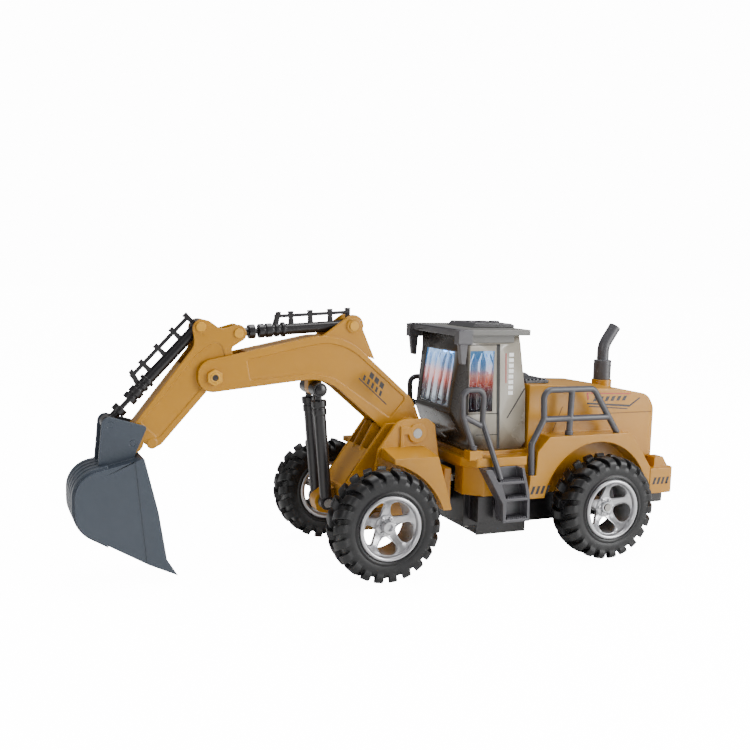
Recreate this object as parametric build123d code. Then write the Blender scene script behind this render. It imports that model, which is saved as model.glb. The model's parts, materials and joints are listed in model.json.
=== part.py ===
from build123d import *
import math
import os

# A ride-on-the-table toy: a wheeled loader chassis with an excavator arm.
# Millimetres. +X runs to the bucket end, +Y to the left side, +Z up.
# The outlines are written with x = 0 on the front axle, and the whole toy is
# moved at the end so that its origin is under the middle of its box.

os.makedirs("parts", exist_ok=True)

# --- driving sizes: wheels and axles -------------------------------------
wheelbase = 138.5
axle_height = 30.0
tyre_radius = 30.0
tyre_width = 21.0
tyre_centre_y = 45.7
rim_seat_radius = 17.6
rim_lip_radius = 16.6
rim_wall = 1.6
rim_recess = 8.5
rim_hub_radius = 5.0
rim_windows = 5
tread_grooves = 22
tread_groove_width = 3.4
tread_groove_depth = 2.6
axle_radius = 2.0
running = 0.05

# --- driving sizes: arm ---------------------------------------------------
arm_wall = 1.8
boom_inner_half = 6.5
boom_half_width = boom_inner_half + arm_wall
stick_side_gap = 0.4
stick_half_width = boom_inner_half - stick_side_gap
nose_rib_wall = 1.8
nose_rib_gap = 0.6
bucket_half_width = 17.0
bucket_wall = 1.6
bucket_rib_height = 1.2
bucket_rib_width = 4.2
bucket_rib_pitch = 6.2
bucket_ribs = 5
ear_wall = 2.1
ear_gap = 0.5
pin_radius = 1.5
boom_pivot = (-29.7, 73.0)
boom_pivot_radius = 2.7
stick_pivot = (81.3, 104.7)
bucket_pivot = (123.0, 72.2)
lift_base_pin = (18.2, 34.4)
lift_top_pin = (24.3, 97.2)
lift_ram_y = 8.1
lift_ram_half = 2.5
lift_lug_half = 3.0
stick_ram_base = (3.9, 131.4)
stick_ram_end = (68.0, 127.4)
bucket_ram_base = (88.0, 130.7)
bucket_ram_end = (134.1, 82.1)
ram_eye_half = 4.2
ram_eye_radius = 3.6
ram_radius = 3.0
ram_bore_radius = 2.25
ram_rod_radius = 1.3
ram_length = 52.0
guard_height = 7.4
lift_ram_radius = 3.3
lift_ram_length = 57.0
lift_rod_radius = 1.8

# --- driving sizes: front frame and articulation ---------------------------
tower_outer = 15.0
side_plate_inner = 19.0
side_plate_outer = 21.0
fender_outer_front = 38.0
front_arch_centre = (2.2, 16.9)
front_arch_clearance = 14.2
steer_x = -46.0
steer_pin_radius = 3.0
steer_eye_radius = 7.0
tongue_bottom = 36.2
tongue_top = 41.8
gear_module = 0.8
gear_face = 4.0
steer_gear_teeth = 40
steer_pinion_teeth = 10
axle_gear_teeth = 20
motor_pinion_teeth = 12
pinion_shaft_radius = 1.0

# --- driving sizes: rear body ----------------------------------------------
shell_wall = 2.0
body_front_x = -56.0
hood_front_x = -97.0
hood_rear_x = -wheelbase - 52.0
hood_half = 28.0
exhaust_x = -wheelbase - 28.8
platform_top = 60.0
platform_thick = 5.0
platform_wing_rear_x = -91.2
platform_tail_half = 35.0
platform_beyond_rail = 4.0
lower_body_half = 36.0
fender_half = 40.0
rear_arch_clearance = 6.3
fender_arch_radius = tyre_radius + rear_arch_clearance
fender_top_wall = 4.5
shell_bottom = 38.0
pan_half = 26.0
pan_bottom = 19.0
pan_wall = 1.8
bumper_front_x = -wheelbase - 38.1
bumper_rear_x = -wheelbase - 56.9
bumper_bottom = 33.0
bumper_top = 48.3
tail_lamp_radius = 2.2
tail_lamp_depth = 0.6
cell_radius = 7.1
cell_length = 50.0
cell_gap = 0.3
battery_bottom = 13.0
battery_cover_thick = 1.6

# --- driving sizes: cab ------------------------------------------------------
cab_half = 27.0
cab_bottom = 62.2
cab_wall = 1.6
seat_inner = 3.0
seat_outer = 15.0
windscreen_half = 17.5
roof_overhang = 6.5
roof_half = cab_half + roof_overhang
roof_thick = 3.2
roof_bottom = 127.8
grab_rail_offset = 6.8
grab_rail_y = cab_half + grab_rail_offset
grab_rail_radius = 1.6
deck_rail_y = 36.5
deck_rail_radius = 1.8
ladder_reach = 7.0
ladder_depth = 7.8

# --- driving sizes: fasteners and small gaps -----------------------------------
seat_gap = 0.1
screw_radius = 1.2
screw_head_radius = 2.4
screw_head_height = 1.4

deck_z = axle_height + fender_arch_radius + fender_top_wall
platform_half = grab_rail_y + platform_beyond_rail
ladder_outer = platform_half + ladder_reach
front_axle = (0.0, axle_height)
rear_axle = (-wheelbase, axle_height)


# --- shape helpers ----------------------------------------------------------------
def block(x0, x1, y0, y1, z0, z1):
    """A box between two corners."""
    middle = ((x0 + x1) / 2, (y0 + y1) / 2, (z0 + z1) / 2)
    return Pos(*middle) * Box(abs(x1 - x0), abs(y1 - y0), abs(z1 - z0))


def rod_y(centre, radius, y0, y1):
    """A round bar along Y through the (x, z) centre."""
    middle = (centre[0], (y0 + y1) / 2, centre[1])
    return Pos(*middle) * Rot(90, 0, 0) * Cylinder(radius, abs(y1 - y0))


def rod_z(x, y, radius, z0, z1):
    """A round bar along Z."""
    return Pos(x, y, (z0 + z1) / 2) * Cylinder(radius, z1 - z0)


def rod_x(y, z, radius, x0, x1):
    """A round bar along X."""
    return Pos((x0 + x1) / 2, y, z) * Rot(0, 90, 0) * Cylinder(radius, abs(x1 - x0))


def side_prism(corners, y0, y1):
    """A plate whose (x, z, corner radius) outline is seen from the side."""
    points = [Vector(c[0], y0, c[1]) for c in corners]
    radii = [c[2] if len(c) > 2 else 0 for c in corners]
    return Solid.extrude(rounded_face(points, radii), Vector(0, y1 - y0, 0))


def plan_prism(corners, z0, z1):
    """A plate whose (x, y, corner radius) outline is seen from above."""
    points = [Vector(c[0], c[1], z0) for c in corners]
    radii = [c[2] if len(c) > 2 else 0 for c in corners]
    return Solid.extrude(rounded_face(points, radii), Vector(0, 0, z1 - z0))


def rounded_face(points, radii):
    """A flat face inside straight edges, with an arc at each corner that has a radius."""
    edges = []
    count = len(points)
    trims = []
    for i, corner in enumerate(points):
        before = (points[i - 1] - corner).normalized()
        after = (points[(i + 1) % count] - corner).normalized()
        if radii[i] <= 0:
            trims.append((corner, None, corner))
            continue
        half = math.acos(max(-1.0, min(1.0, before.dot(after)))) / 2
        reach = radii[i] / math.tan(half)
        depth = radii[i] / math.sin(half) - radii[i]
        middle = corner + (before + after).normalized() * depth
        trims.append((corner + before * reach, middle, corner + after * reach))
    for i, (start, middle, end) in enumerate(trims):
        if middle is not None:
            edges.append(Edge.make_three_point_arc(start, middle, end))
        following = trims[(i + 1) % count][0]
        if (following - end).length > 1e-4:
            edges.append(Edge.make_line(end, following))
    return Face(Wire(edges))


def inset(corners, distance):
    """The same outline with every edge moved inwards by one distance (outwards if negative)."""
    count = len(corners)
    area = sum(
        corners[i - 1][0] * corners[i][1] - corners[i][0] * corners[i - 1][1] for i in range(count)
    )
    turn = 1 if area > 0 else -1
    result = []
    for i in range(count):
        ax, az = corners[i - 1][:2]
        bx, bz = corners[i][:2]
        cx, cz = corners[(i + 1) % count][:2]
        first = math.hypot(bx - ax, bz - az)
        second = math.hypot(cx - bx, cz - bz)
        n1 = (-(bz - az) / first * turn, (bx - ax) / first * turn)
        n2 = (-(cz - bz) / second * turn, (cx - bx) / second * turn)
        spread = 1 + n1[0] * n2[0] + n1[1] * n2[1]
        move = ((n1[0] + n2[0]) / spread, (n1[1] + n2[1]) / spread)
        cross = (bx - ax) * (cz - bz) - (bz - az) * (cx - bx)
        radius = corners[i][2] if len(corners[i]) > 2 else 0
        sharp = radius - distance if cross * turn > 0 else radius + distance
        result.append((bx + move[0] * distance, bz + move[1] * distance, max(0, sharp) if radius else 0))
    return result


def tube(points, radius, bends):
    """A bent round bar through points, with an arc at each inner point."""
    path = FilletPolyline(*points, radius=bends) if len(points) > 2 else Line(*points)
    profile = Plane(origin=path @ 0, z_dir=path % 0) * Circle(radius)
    return sweep(profile, path=path)


def hexagon(centre, across, y0, y1):
    """A hexagonal nut or head along Y, given its size across flats."""
    corner = across / math.sqrt(3)
    corners = []
    for k in range(6):
        angle = math.radians(60 * k + 30)
        corners.append((centre[0] + corner * math.cos(angle), centre[1] + corner * math.sin(angle)))
    return side_prism(corners, y0, y1)


def gear_outline(teeth, first, last, phase):
    """Points of a toothed edge: straight flanks, thinned for backlash, between two tooth numbers."""
    pitch = gear_module * teeth / 2
    root = pitch - 1.25 * gear_module
    tip = pitch + 0.92 * gear_module
    half = math.pi / (2 * teeth) * 0.84
    points = []
    for k in range(first, last):
        middle = phase + 2 * math.pi * k / teeth
        for radius, share in ((root, -1.5), (pitch, -1), (tip, -0.42), (tip, 0.42), (pitch, 1), (root, 1.5)):
            angle = middle + half * share
            points.append((radius * math.cos(angle), radius * math.sin(angle)))
    return points


def angle_of(start, end):
    """The turn about Y, in degrees, that lays local +X along the line from start to end."""
    return -math.degrees(math.atan2(end[1] - start[1], end[0] - start[0]))


def along(start, end, shape):
    """A shape drawn along local +X from the origin, laid on the line from start to end."""
    return Pos(start[0], 0, start[1]) * Rot(0, angle_of(start, end), 0) * shape


def span(start, end):
    """The distance between two (x, z) points."""
    return math.hypot(end[0] - start[0], end[1] - start[1])


# --- wheels ----------------------------------------------------------------------------
def wheel_ring(corners):
    """A ring turned about Y from (radius, y) corners."""
    outline = Face(Wire.make_polygon([Vector(r, y, 0) for r, y in corners], close=True))
    return revolve(outline, Axis.Y)


def tyre():
    half = tyre_width / 2
    shoulder = tyre_radius - 3.0
    ring = wheel_ring([
        (rim_seat_radius, -half + 1.0), (rim_seat_radius + 2.0, -half), (shoulder - 3.0, -half),
        (shoulder, -half + 1.2), (tyre_radius, -half + 5.0), (tyre_radius, half - 5.0),
        (shoulder, half - 1.2), (shoulder - 3.0, half), (rim_seat_radius + 2.0, half),
        (rim_seat_radius, half - 1.0),
    ])
    floor = tyre_radius - tread_groove_depth
    for k in range(tread_grooves):
        for side in (-1, 1):
            turn = 360 / tread_grooves * (k + (0.5 if side > 0 else 0))
            reach = block(floor, tyre_radius + 1, side * 1.5, side * (half + 1), -tread_groove_width / 2,
                          tread_groove_width / 2)
            ring -= Rot(0, turn, 0) * reach
    return ring


def rim(side, bore):
    """A deep-dish wheel centre: barrel, outer lip, pierced dish and hub."""
    half = tyre_width / 2
    face = half + 0.1
    dish = face - rim_recess
    barrel = wheel_ring([
        (rim_seat_radius - rim_wall - 1.2, -half + 1.0), (rim_seat_radius, -half + 1.0),
        (rim_seat_radius, half - 1.0), (rim_lip_radius + 0.4, face), (rim_lip_radius - 1.4, face),
        (rim_seat_radius - rim_wall - 1.2, dish),
    ])
    disc = wheel_ring([
        (bore, dish - 3.0), (rim_seat_radius - 1.5, dish - 5.0), (rim_seat_radius - 1.5, dish - 1.0),
        (rim_hub_radius + 1, dish + 0.6), (bore, dish + 0.6),
    ])
    hub = wheel_ring([
        (bore, -half + 0.6), (rim_hub_radius, -half + 0.6), (rim_hub_radius, dish + 2.2), (bore, dish + 2.2),
    ])
    centre = disc + hub
    for k in range(rim_windows):
        window = Pos(10.4, 0, 0) * Rot(90, 0, 0) * Cylinder(3.1, tyre_width)
        window += Pos(12.6, 0, 0) * Box(4.0, tyre_width, 6.2)
        window = window & wheel_ring([
            (rim_hub_radius + 1.6, -half), (rim_seat_radius - 3.0, -half),
            (rim_seat_radius - 3.0, half), (rim_hub_radius + 1.6, half),
        ])
        centre -= Rot(0, 360 / rim_windows * k + 18, 0) * window
    whole = barrel + centre
    return whole if side > 0 else mirror(whole, about=Plane.XZ)


def wheel_at(shape, axle, side):
    return Pos(axle[0], side * tyre_centre_y, axle[1]) * shape


# --- arm ---------------------------------------------------------------------------------
boom_outline = [
    (89.9, 112.6, 8.0), (11.8, 128.8, 36.0), (-32.1, 90.7, 16.0), (-38.6, 75.6, 3.0), (-36.0, 65.5, 6.0),
    (-24.5, 65.5, 5.0), (20.0, 103.6, 30.0), (89.9, 96.0, 8.0),
]
boom_panel = [
    (64.2, 113.6, 1.5), (11.8, 124.4, 32.0), (-28.3, 90.9, 2.0), (-18.6, 80.0, 1.5), (20.0, 106.6, 34.0),
    (62.2, 102.6, 1.5),
]
boom_skin_region = [(64.0, 108.0), (15.0, 114.0), (-26.0, 82.0), (-45.0, 82.0), (-45.0, 150.0), (64.0, 150.0)]
boom_ear = [(22.2, 122.0), (21.8, 125.8), (8.2, 135.6), (-1.8, 129.6), (-9.4, 112.8), (4.0, 118.0)]
stick_outline = [
    (93.2, 136.2, 5.0), (83.6, 133.9, 6.0), (77.4, 129.4, 5.0), (66.2, 132.6, 4.0), (62.4, 125.6, 4.0),
    (71.6, 120.0, 2.0), (70.8, 113.0, 3.0), (108.2, 70.4, 2.5), (113.2, 68.2, 1.5), (116.8, 72.0),
    (127.6, 74.0), (91.0, 121.2, 8.0),
]
stick_panel = [
    (89.6, 117.2, 3.0), (78.0, 124.8, 4.0), (74.6, 113.6, 2.0), (109.8, 73.6, 1.0), (118.4, 82.0, 1.0),
]
stick_skin_region = [(98.0, 112.0), (126.5, 74.5), (140.0, 80.0), (104.0, 124.0)]
bucket_side = [
    (118.8, 66.4, 1.0), (123.2, 64.3, 2.0), (152.2, 57.5, 13.0), (152.2, 31.6, 17.0), (117.4, 11.3),
    (101.6, 3.9), (107.2, 12.2, 6.0), (111.6, 38.0, 20.0),
]
bucket_ear = [(137.8, 87.0, 4.0), (115.6, 80.4, 1.5), (121.2, 67.6), (123.4, 62.0), (140.2, 58.9)]


def plates(outline, inner, outer, side):
    """A side plate between two distances from the middle plane."""
    low, high = sorted((side * inner, side * outer))
    return side_prism(outline, low, high)


def boom_half(side):
    inner = boom_inner_half
    outer = boom_half_width
    half = plates(boom_outline, inner, outer, side)
    half -= plates(boom_panel, outer - 0.7, outer + 1, side)
    ring = plates(boom_outline, 0, inner, side) - plates(inset(boom_outline, arm_wall), 0, inner, side)
    half += ring & plates(boom_skin_region, 0, inner, side)
    # the cross web that carries the lift pin, and its hanging lug
    web = [(20.6, 101.8), (28.4, 101.8), (28.4, 112.0), (20.6, 112.0)]
    half += plates(web, 0, inner, side)
    low, high = sorted((0, side * lift_lug_half))
    half += rod_y(lift_top_pin, 4.0, low, high)
    half += block(20.3, 28.3, low, high, lift_top_pin[1], 104.0)
    # hub on the boom pivot, reaching out to the tower plates
    low, high = sorted((0, side * (tower_outer - 2.0 - 0.3)))
    half += rod_y(boom_pivot, 7.0, low, high)
    # ears for the stick ram
    half += plates(boom_ear, 4.7, inner + 0.2, side)
    low, high = sorted((side * 4.7, side * (inner + 0.2)))
    half += rod_y(stick_ram_base, 6.0, low, high)
    low, high = sorted((side * 4.7, side * (inner + 1.2)))
    half += rod_y(stick_ram_base, 4.0, low, high)
    through = outer + tower_outer
    half -= rod_y(boom_pivot, boom_pivot_radius + running, -through, through)
    half -= rod_y(stick_pivot, pin_radius, -through, through)
    half -= rod_y(stick_ram_base, pin_radius, -through, through)
    half -= rod_y(lift_top_pin, pin_radius, -through, through)
    return half


def stick_half(side):
    inner = stick_half_width - arm_wall + 0.2
    outer = stick_half_width
    half = plates(stick_outline, inner, outer, side)
    half -= plates(stick_panel, outer - 0.5, outer + 1, side)
    ring = plates(stick_outline, 0, inner, side) - plates(inset(stick_outline, arm_wall), 0, inner, side)
    half += ring & plates(stick_skin_region, 0, inner, side)
    low, high = sorted((0, side * outer))
    half += rod_y(stick_pivot, 6.0, low, high)
    half += rod_y(bucket_pivot, 6.0, low, high)
    half += plates([(100.0, 86.0), (104.0, 81.5), (112.5, 92.5), (108.5, 97.5)], 0, inner, side)
    half += rod_y((112.9, 71.1), 2.7, side * inner, side * (outer + 0.5))
    through = outer + 10
    half -= rod_y(stick_pivot, pin_radius + running, -through, through)
    half -= rod_y(bucket_pivot, pin_radius + running, -through, through)
    half -= rod_y(stick_ram_end, pin_radius, -through, through)
    half -= rod_y(bucket_ram_base, pin_radius, -through, through)
    return half


def bucket():
    half = bucket_half_width
    shell = side_prism(bucket_side, -half, half)
    hollow = inset(bucket_side, bucket_wall)
    shell -= side_prism(hollow, -half + bucket_wall, half - bucket_wall)
    top, tip = hollow[0], hollow[5]
    mouth = [(top[0] + 2.0, top[1]), (top[0] - 30, top[1] + 3), (tip[0] - 30, tip[1]), (tip[0], tip[1]),
             (hollow[6][0] + 3, hollow[6][1] + 4), (hollow[7][0] + 3, hollow[7][1])]
    shell -= side_prism(mouth, -half + bucket_wall, half - bucket_wall)
    ribs = inset(bucket_side, -bucket_rib_height)
    core = side_prism(inset(bucket_side, bucket_wall / 2), -half, half)
    back = block(136.0, 170.0, -half, half, 15.0, 70.0)
    for k in range(bucket_ribs):
        middle = bucket_rib_pitch * (k - (bucket_ribs - 1) / 2)
        rib = side_prism(ribs, middle - bucket_rib_width / 2, middle + bucket_rib_width / 2)
        shell += (rib & back) - core
    # side cutters: the mouth edge of each side plate stands a little proud
    cutter = [(118.8, 66.4, 1.0), (123.2, 64.3), (117.4, 11.3), (101.6, 3.9), (107.2, 12.2, 6.0),
              (111.6, 38.0, 20.0)]
    for side in (-1, 1):
        shell += plates(cutter, half - 0.5, half + 0.5, side)
        inner = stick_half_width + ear_gap
        ear = plates(bucket_ear, inner, inner + ear_wall, side)
        ear -= side_prism(inset(bucket_side, bucket_wall / 2), -half, half)
        shell += ear
    shell -= rod_y(bucket_pivot, pin_radius, -half, half)
    shell -= rod_y(bucket_ram_end, pin_radius, -half, half)
    return shell


def ram_barrel(length):
    """A ram barrel along +X from its eye, with collars, an open mouth and a guard rail above."""
    eye = rod_y((0, 0), ram_eye_radius, -ram_eye_half, ram_eye_half)
    barrel = eye + rod_x(0, 0, ram_radius, 2.0, length)
    for start, end, radius in ((37.5, 39.3, 4.0), (41.0, 43.0, 3.7), (44.6, 48.0, 3.8), (49.0, length, 3.8)):
        barrel += rod_x(0, 0, radius, start, end)
    rail_half = 1.3
    barrel += block(-0.6, 42.6, -rail_half, rail_half, guard_height - 1.0, guard_height + 0.7)
    for position in (0.6, 11.0, 22.5, 33.5):
        post = [(position - 1.4, 1.5), (position - 1.0, guard_height), (position - 1.5, guard_height + 2.2),
                (position + 1.5, guard_height + 2.2), (position + 1.0, guard_height), (position + 1.4, 1.5)]
        barrel += side_prism(post, -rail_half, rail_half)
    end_post = [(44.4, 1.5), (41.4, guard_height + 2.2), (39.0, guard_height + 2.2), (39.6, guard_height),
                (41.6, 1.5)]
    barrel += side_prism(end_post, -rail_half, rail_half)
    barrel -= rod_x(0, 0, ram_bore_radius, 7.0, length + 1)
    barrel -= rod_y((0, 0), pin_radius + running, -10, 10)
    return barrel


def ram_rod(reach, start):
    """A ram rod along +X that ends in an eye at the given reach, with a round stop."""
    rod = rod_x(0, 0, ram_rod_radius, start, reach)
    rod += rod_x(0, 0, 3.8, reach - 10.2, reach - 6.6)
    rod += rod_x(0, 0, 2.2, reach - 6.6, reach)
    rod += rod_y((reach, 0), ram_eye_radius, -ram_eye_half, ram_eye_half)
    rod -= rod_y((reach, 0), pin_radius + running, -10, 10)
    return rod


def lift_barrel(side):
    low, high = sorted((side * (lift_ram_y - lift_ram_half), side * (lift_ram_y + lift_ram_half)))
    body = rod_y((0, 0), 4.0, low, high)
    middle = side * lift_ram_y
    body += rod_x(middle, 0, lift_ram_radius, 3.0, lift_ram_length)
    body += rod_x(middle, 0, lift_ram_radius + 0.5, lift_ram_length - 8.0, lift_ram_length - 4.6)
    body += rod_x(middle, 0, lift_ram_radius + 0.8, lift_ram_length - 3.6, lift_ram_length)
    body -= rod_x(middle, 0, ram_bore_radius + 0.1, 7.0, lift_ram_length + 1)
    body -= rod_y((0, 0), pin_radius + running, -20, 20)
    return body


def lift_rod(side, reach):
    low, high = sorted((side * (lift_lug_half + 0.2), side * 12.0))
    body = rod_y((reach, 0), 4.0, low, high)
    body += rod_x(side * lift_ram_y, 0, lift_rod_radius, 12.0, reach)
    body -= rod_y((reach, 0), pin_radius + running, -20, 20)
    return body


def pin(centre, radius, reach, head_radius, head):
    """A pin across the toy with a round head at each end."""
    shape = rod_y(centre, radius, -reach, reach)
    shape += rod_y(centre, head_radius, reach, reach + head)
    return shape + rod_y(centre, head_radius, -reach - head, -reach)


# --- front frame --------------------------------------------------------------------------
tower_side = [
    (-38.0, 78.0, 2.0), (-13.4, 78.0, 2.0), (5.6, 51.8, 2.0), (12.0, 42.0, 2.0), (12.0, 24.0),
    (-38.0, 24.0),
]
front_side_outline = [
    (-17.2, 79.2, 4.0), (-21.6, 80.9, 4.0), (-36.2, 80.9, 3.0), (-40.8, 77.6, 1.0), (-42.7, 65.7),
    (-45.2, 51.3), (-45.6, 40.0), (-5.2, 40.0), (-5.2, 55.8), (-6.7, 64.6, 2.0),
]
front_fender_outline = [
    (-9.0, 66.0), (-34.2, 66.0, 1.0), (-37.4, 55.2), (-44.0, 33.6), (-44.0, 32.5), (-36.0, 32.5),
    (-9.0, 50.0),
]


def front_frame():
    frame = side_prism(tower_side, tower_outer - 2.0, tower_outer)
    frame += side_prism(tower_side, -tower_outer, -tower_outer + 2.0)
    frame += block(-38.0, 12.0, -tower_outer, tower_outer, 24.0, 26.0)
    slope = [(-3.5, 63.9), (5.6, 51.8), (10.5, 44.0), (8.2, 42.8), (3.4, 50.6), (-5.4, 62.4)]
    frame += side_prism(slope, -tower_outer + 1, tower_outer - 1)
    frame += block(9.6, 12.0, -tower_outer, tower_outer, 24.0, 44.0)
    rib_outer = boom_inner_half - nose_rib_gap
    for side in (-1, 1):
        low, high = sorted((side * (rib_outer - nose_rib_wall), side * rib_outer))
        rib = [(-13.0, 77.2), (-9.6, 77.2, 1.0), (-1.6, 62.4), (-5.4, 59.0), (-14.5, 66.0)]
        frame += side_prism(rib, low, high)
    # lift ram lug on the nose
    lug_half = lift_ram_y - lift_ram_radius - 0.3
    nose = [(10.0, 42.0), (18.0, 40.3, 3.0), (24.2, 36.0, 4.0), (22.0, 28.2, 4.0), (10.0, 26.0)]
    frame += side_prism(nose, -lug_half, lug_half)
    # axle housing across the frame
    frame += block(-6.0, 6.0, -tyre_centre_y + 12.5, tyre_centre_y - 12.5, 24.0, 36.0)
    # rear wall, cheeks and the steering tongue
    frame += block(-38.0, -36.0, -side_plate_inner + seat_gap, side_plate_inner - seat_gap, 26.0, 53.0)
    for side in (-1, 1):
        low, high = sorted((side * 13.0, side * (side_plate_inner - seat_gap)))
        frame += block(-50.0, -36.0, low, high, 30.0, 53.0)
        low, high = sorted((side * 13.0, side * 25.0))
        frame += block(-50.0, -45.7, low, high, 30.0, 53.0)
        low, high = sorted((side * tower_outer, side * side_plate_inner))
        frame += block(-36.0, -8.0, low, high, 41.0, 50.0)
    tongue = block(steer_x, -37.0, -steer_eye_radius, steer_eye_radius, tongue_bottom, tongue_top)
    frame += tongue + rod_z(steer_x, 0, steer_eye_radius, tongue_bottom, tongue_top)
    frame -= rod_z(steer_x, 0, steer_pin_radius + running, 20, 60)
    frame -= rod_y(front_axle, axle_radius, -60, 60)
    frame -= rod_y(lift_base_pin, pin_radius, -60, 60)
    frame -= rod_y(boom_pivot, boom_pivot_radius, -60, 60)
    return frame


def front_side(side):
    shape = plates(front_side_outline, side_plate_inner, side_plate_outer, side)
    fender = plates(front_fender_outline, side_plate_outer - 0.5, fender_outer_front, side)
    fender -= rod_y(front_arch_centre, tyre_radius + front_arch_clearance, -60, 60)
    # the top falls outwards
    edge = [(side * (side_plate_outer - 1), 66.0), (side * (fender_outer_front + 1), 62.4),
            (side * (fender_outer_front + 1), 70.0), (side * (side_plate_outer - 1), 70.0)]
    points = [Vector(-60, y, z_) for y, z_ in edge]
    fender -= Solid.extrude(rounded_face(points, [0] * 4), Vector(70, 0, 0))
    shape += fender
    low, high = sorted((side * (side_plate_outer - 0.5), side * (side_plate_outer + 1.2)))
    shape += rod_y(boom_pivot, 5.4, low, high)
    shape += block(-21.6, -19.4, low, high, 63.5, 74.0)
    shape += block(-25.4, -19.4, low, high, 72.6, 77.2)
    low, high = sorted((side * tower_outer, side * side_plate_inner))
    shape += rod_y(boom_pivot, 5.0, low, high)
    shape -= rod_y(boom_pivot, boom_pivot_radius, -60, 60)
    return shape


def steering_gear():
    outline = gear_outline(steer_gear_teeth, -4, 5, math.pi)
    sector = [(0.0, -6.0), (4.0, -3.0), (4.0, 3.0), (0.0, 6.0)]
    corners = [(steer_x + x, y) for x, y in outline]
    corners += [(steer_x + x, y) for x, y in sector]
    shape = plan_prism(corners, tongue_top, tongue_top + gear_face)
    shape += rod_z(steer_x, 0, steer_eye_radius - 0.5, tongue_top, tongue_top + gear_face)
    return shape - rod_z(steer_x, 0, steer_pin_radius + running, 20, 60)


def whole_gear(teeth, phase, bore, width):
    """A toothed wheel about its own Z axis, centred on its middle plane."""
    corners = gear_outline(teeth, 0, teeth, phase)
    return plan_prism(corners, -width / 2, width / 2) - Cylinder(bore, width * 2)


# --- rear body ------------------------------------------------------------------------------
hood_side = [
    (hood_front_x, 36.0), (hood_front_x, 99.3), (-113.0, 98.9, 6.0), (rear_axle[0] - 1.5, 96.2, 20.0),
    (rear_axle[0] - 19.5, 95.6, 30.0), (hood_rear_x + 9.9, 92.0, 10.0), (hood_rear_x + 2.1, 82.0, 6.0),
    (hood_rear_x, 62.0),
    (hood_rear_x, 36.0),
]
hood_plan = [
    (hood_front_x, -hood_half), (hood_rear_x, -hood_half, 9.0), (hood_rear_x, hood_half, 9.0),
    (hood_front_x, hood_half),
]
fender_side = [
    (-104.4, deck_z, 2.0), (-96.8, 62.6, 2.0), (-96.2, 49.0), (-92.6, 49.0), (-91.6, 38.0),
    (-93.0, 35.6), (bumper_front_x + 0.2, 35.6), (bumper_front_x + 0.2, 49.5),
    (rear_axle[0] - 24.5, deck_z - 2.4), (rear_axle[0] - 21.4, deck_z, 2.0),
]
lower_plan = [
    (body_front_x, -27.0), (-65.0, -lower_body_half), (hood_front_x - 1, -lower_body_half),
    (hood_front_x - 1, lower_body_half), (-65.0, lower_body_half), (body_front_x, 27.0),
]
platform_plan = [
    (-52.6, -30.0, 2.0), (-59.4, -platform_half, 2.0), (platform_wing_rear_x, -platform_half),
    (platform_wing_rear_x, -platform_tail_half),
    (hood_front_x, -platform_tail_half), (hood_front_x, platform_tail_half),
    (platform_wing_rear_x, platform_tail_half), (platform_wing_rear_x, platform_half),
    (-59.4, platform_half, 2.0), (-52.6, 30.0, 2.0),
]


def body_shell():
    hood = side_prism(hood_side, -hood_half, hood_half) & plan_prism(hood_plan, 30, 110)
    low_body = plan_prism(lower_plan, shell_bottom, platform_top)
    platform = plan_prism(platform_plan, platform_top - platform_thick, platform_top)
    shell = hood + low_body + platform
    for side in (-1, 1):
        fender = plates(fender_side, hood_half - 2.0, fender_half, side)
        pocket = plates(inset(fender_side, shell_wall), hood_half, fender_half - shell_wall, side)
        pocket -= rod_y(rear_axle, fender_arch_radius + shell_wall, -60, 60)
        fender -= pocket
        fender -= rod_y(rear_axle, fender_arch_radius, -60, 60) - block(
            bumper_rear_x - 5.0, -60, -hood_half, hood_half, 0, 100)
        shell += fender
        # foot block of the grab rail, and the cab plinth
        low, high = sorted((side * (grab_rail_y - 3.3), side * (grab_rail_y + 3.2)))
        shell += block(-63.0, -54.6, low, high, platform_top - 1, 64.4)
    shell += block(hood_front_x, -57.5, -cab_half - 1.5, cab_half + 1.5, platform_top - 1, cab_bottom)
    shell += rod_z(exhaust_x, 0, 6.1, 92.0, 98.0)
    # hollow it out from below
    inner_hood = side_prism(inset(hood_side, shell_wall), -hood_half + shell_wall, hood_half - shell_wall)
    inner_hood = inner_hood & plan_prism(inset(hood_plan, shell_wall), 30, 110)
    shell -= inner_hood
    # square at the seat, where the pan's corners fit, and following the rounded wall above it
    shell -= block(hood_rear_x + shell_wall, hood_front_x - 1, -hood_half + shell_wall,
                   hood_half - shell_wall, 20, shell_bottom)
    shell -= plan_prism(inset(hood_plan, shell_wall), shell_bottom, platform_top)
    inner_low = plan_prism(inset(lower_plan, shell_wall), 20, platform_top - shell_wall)
    shell -= inner_low
    shell -= block(-100.5, -94, -hood_half + shell_wall, hood_half - shell_wall, 20, platform_top - 2.0)
    # the slot that the steering tongue swings in
    shell -= block(-60, -50, -18, 18, 20, 52.5)
    return shell


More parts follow.
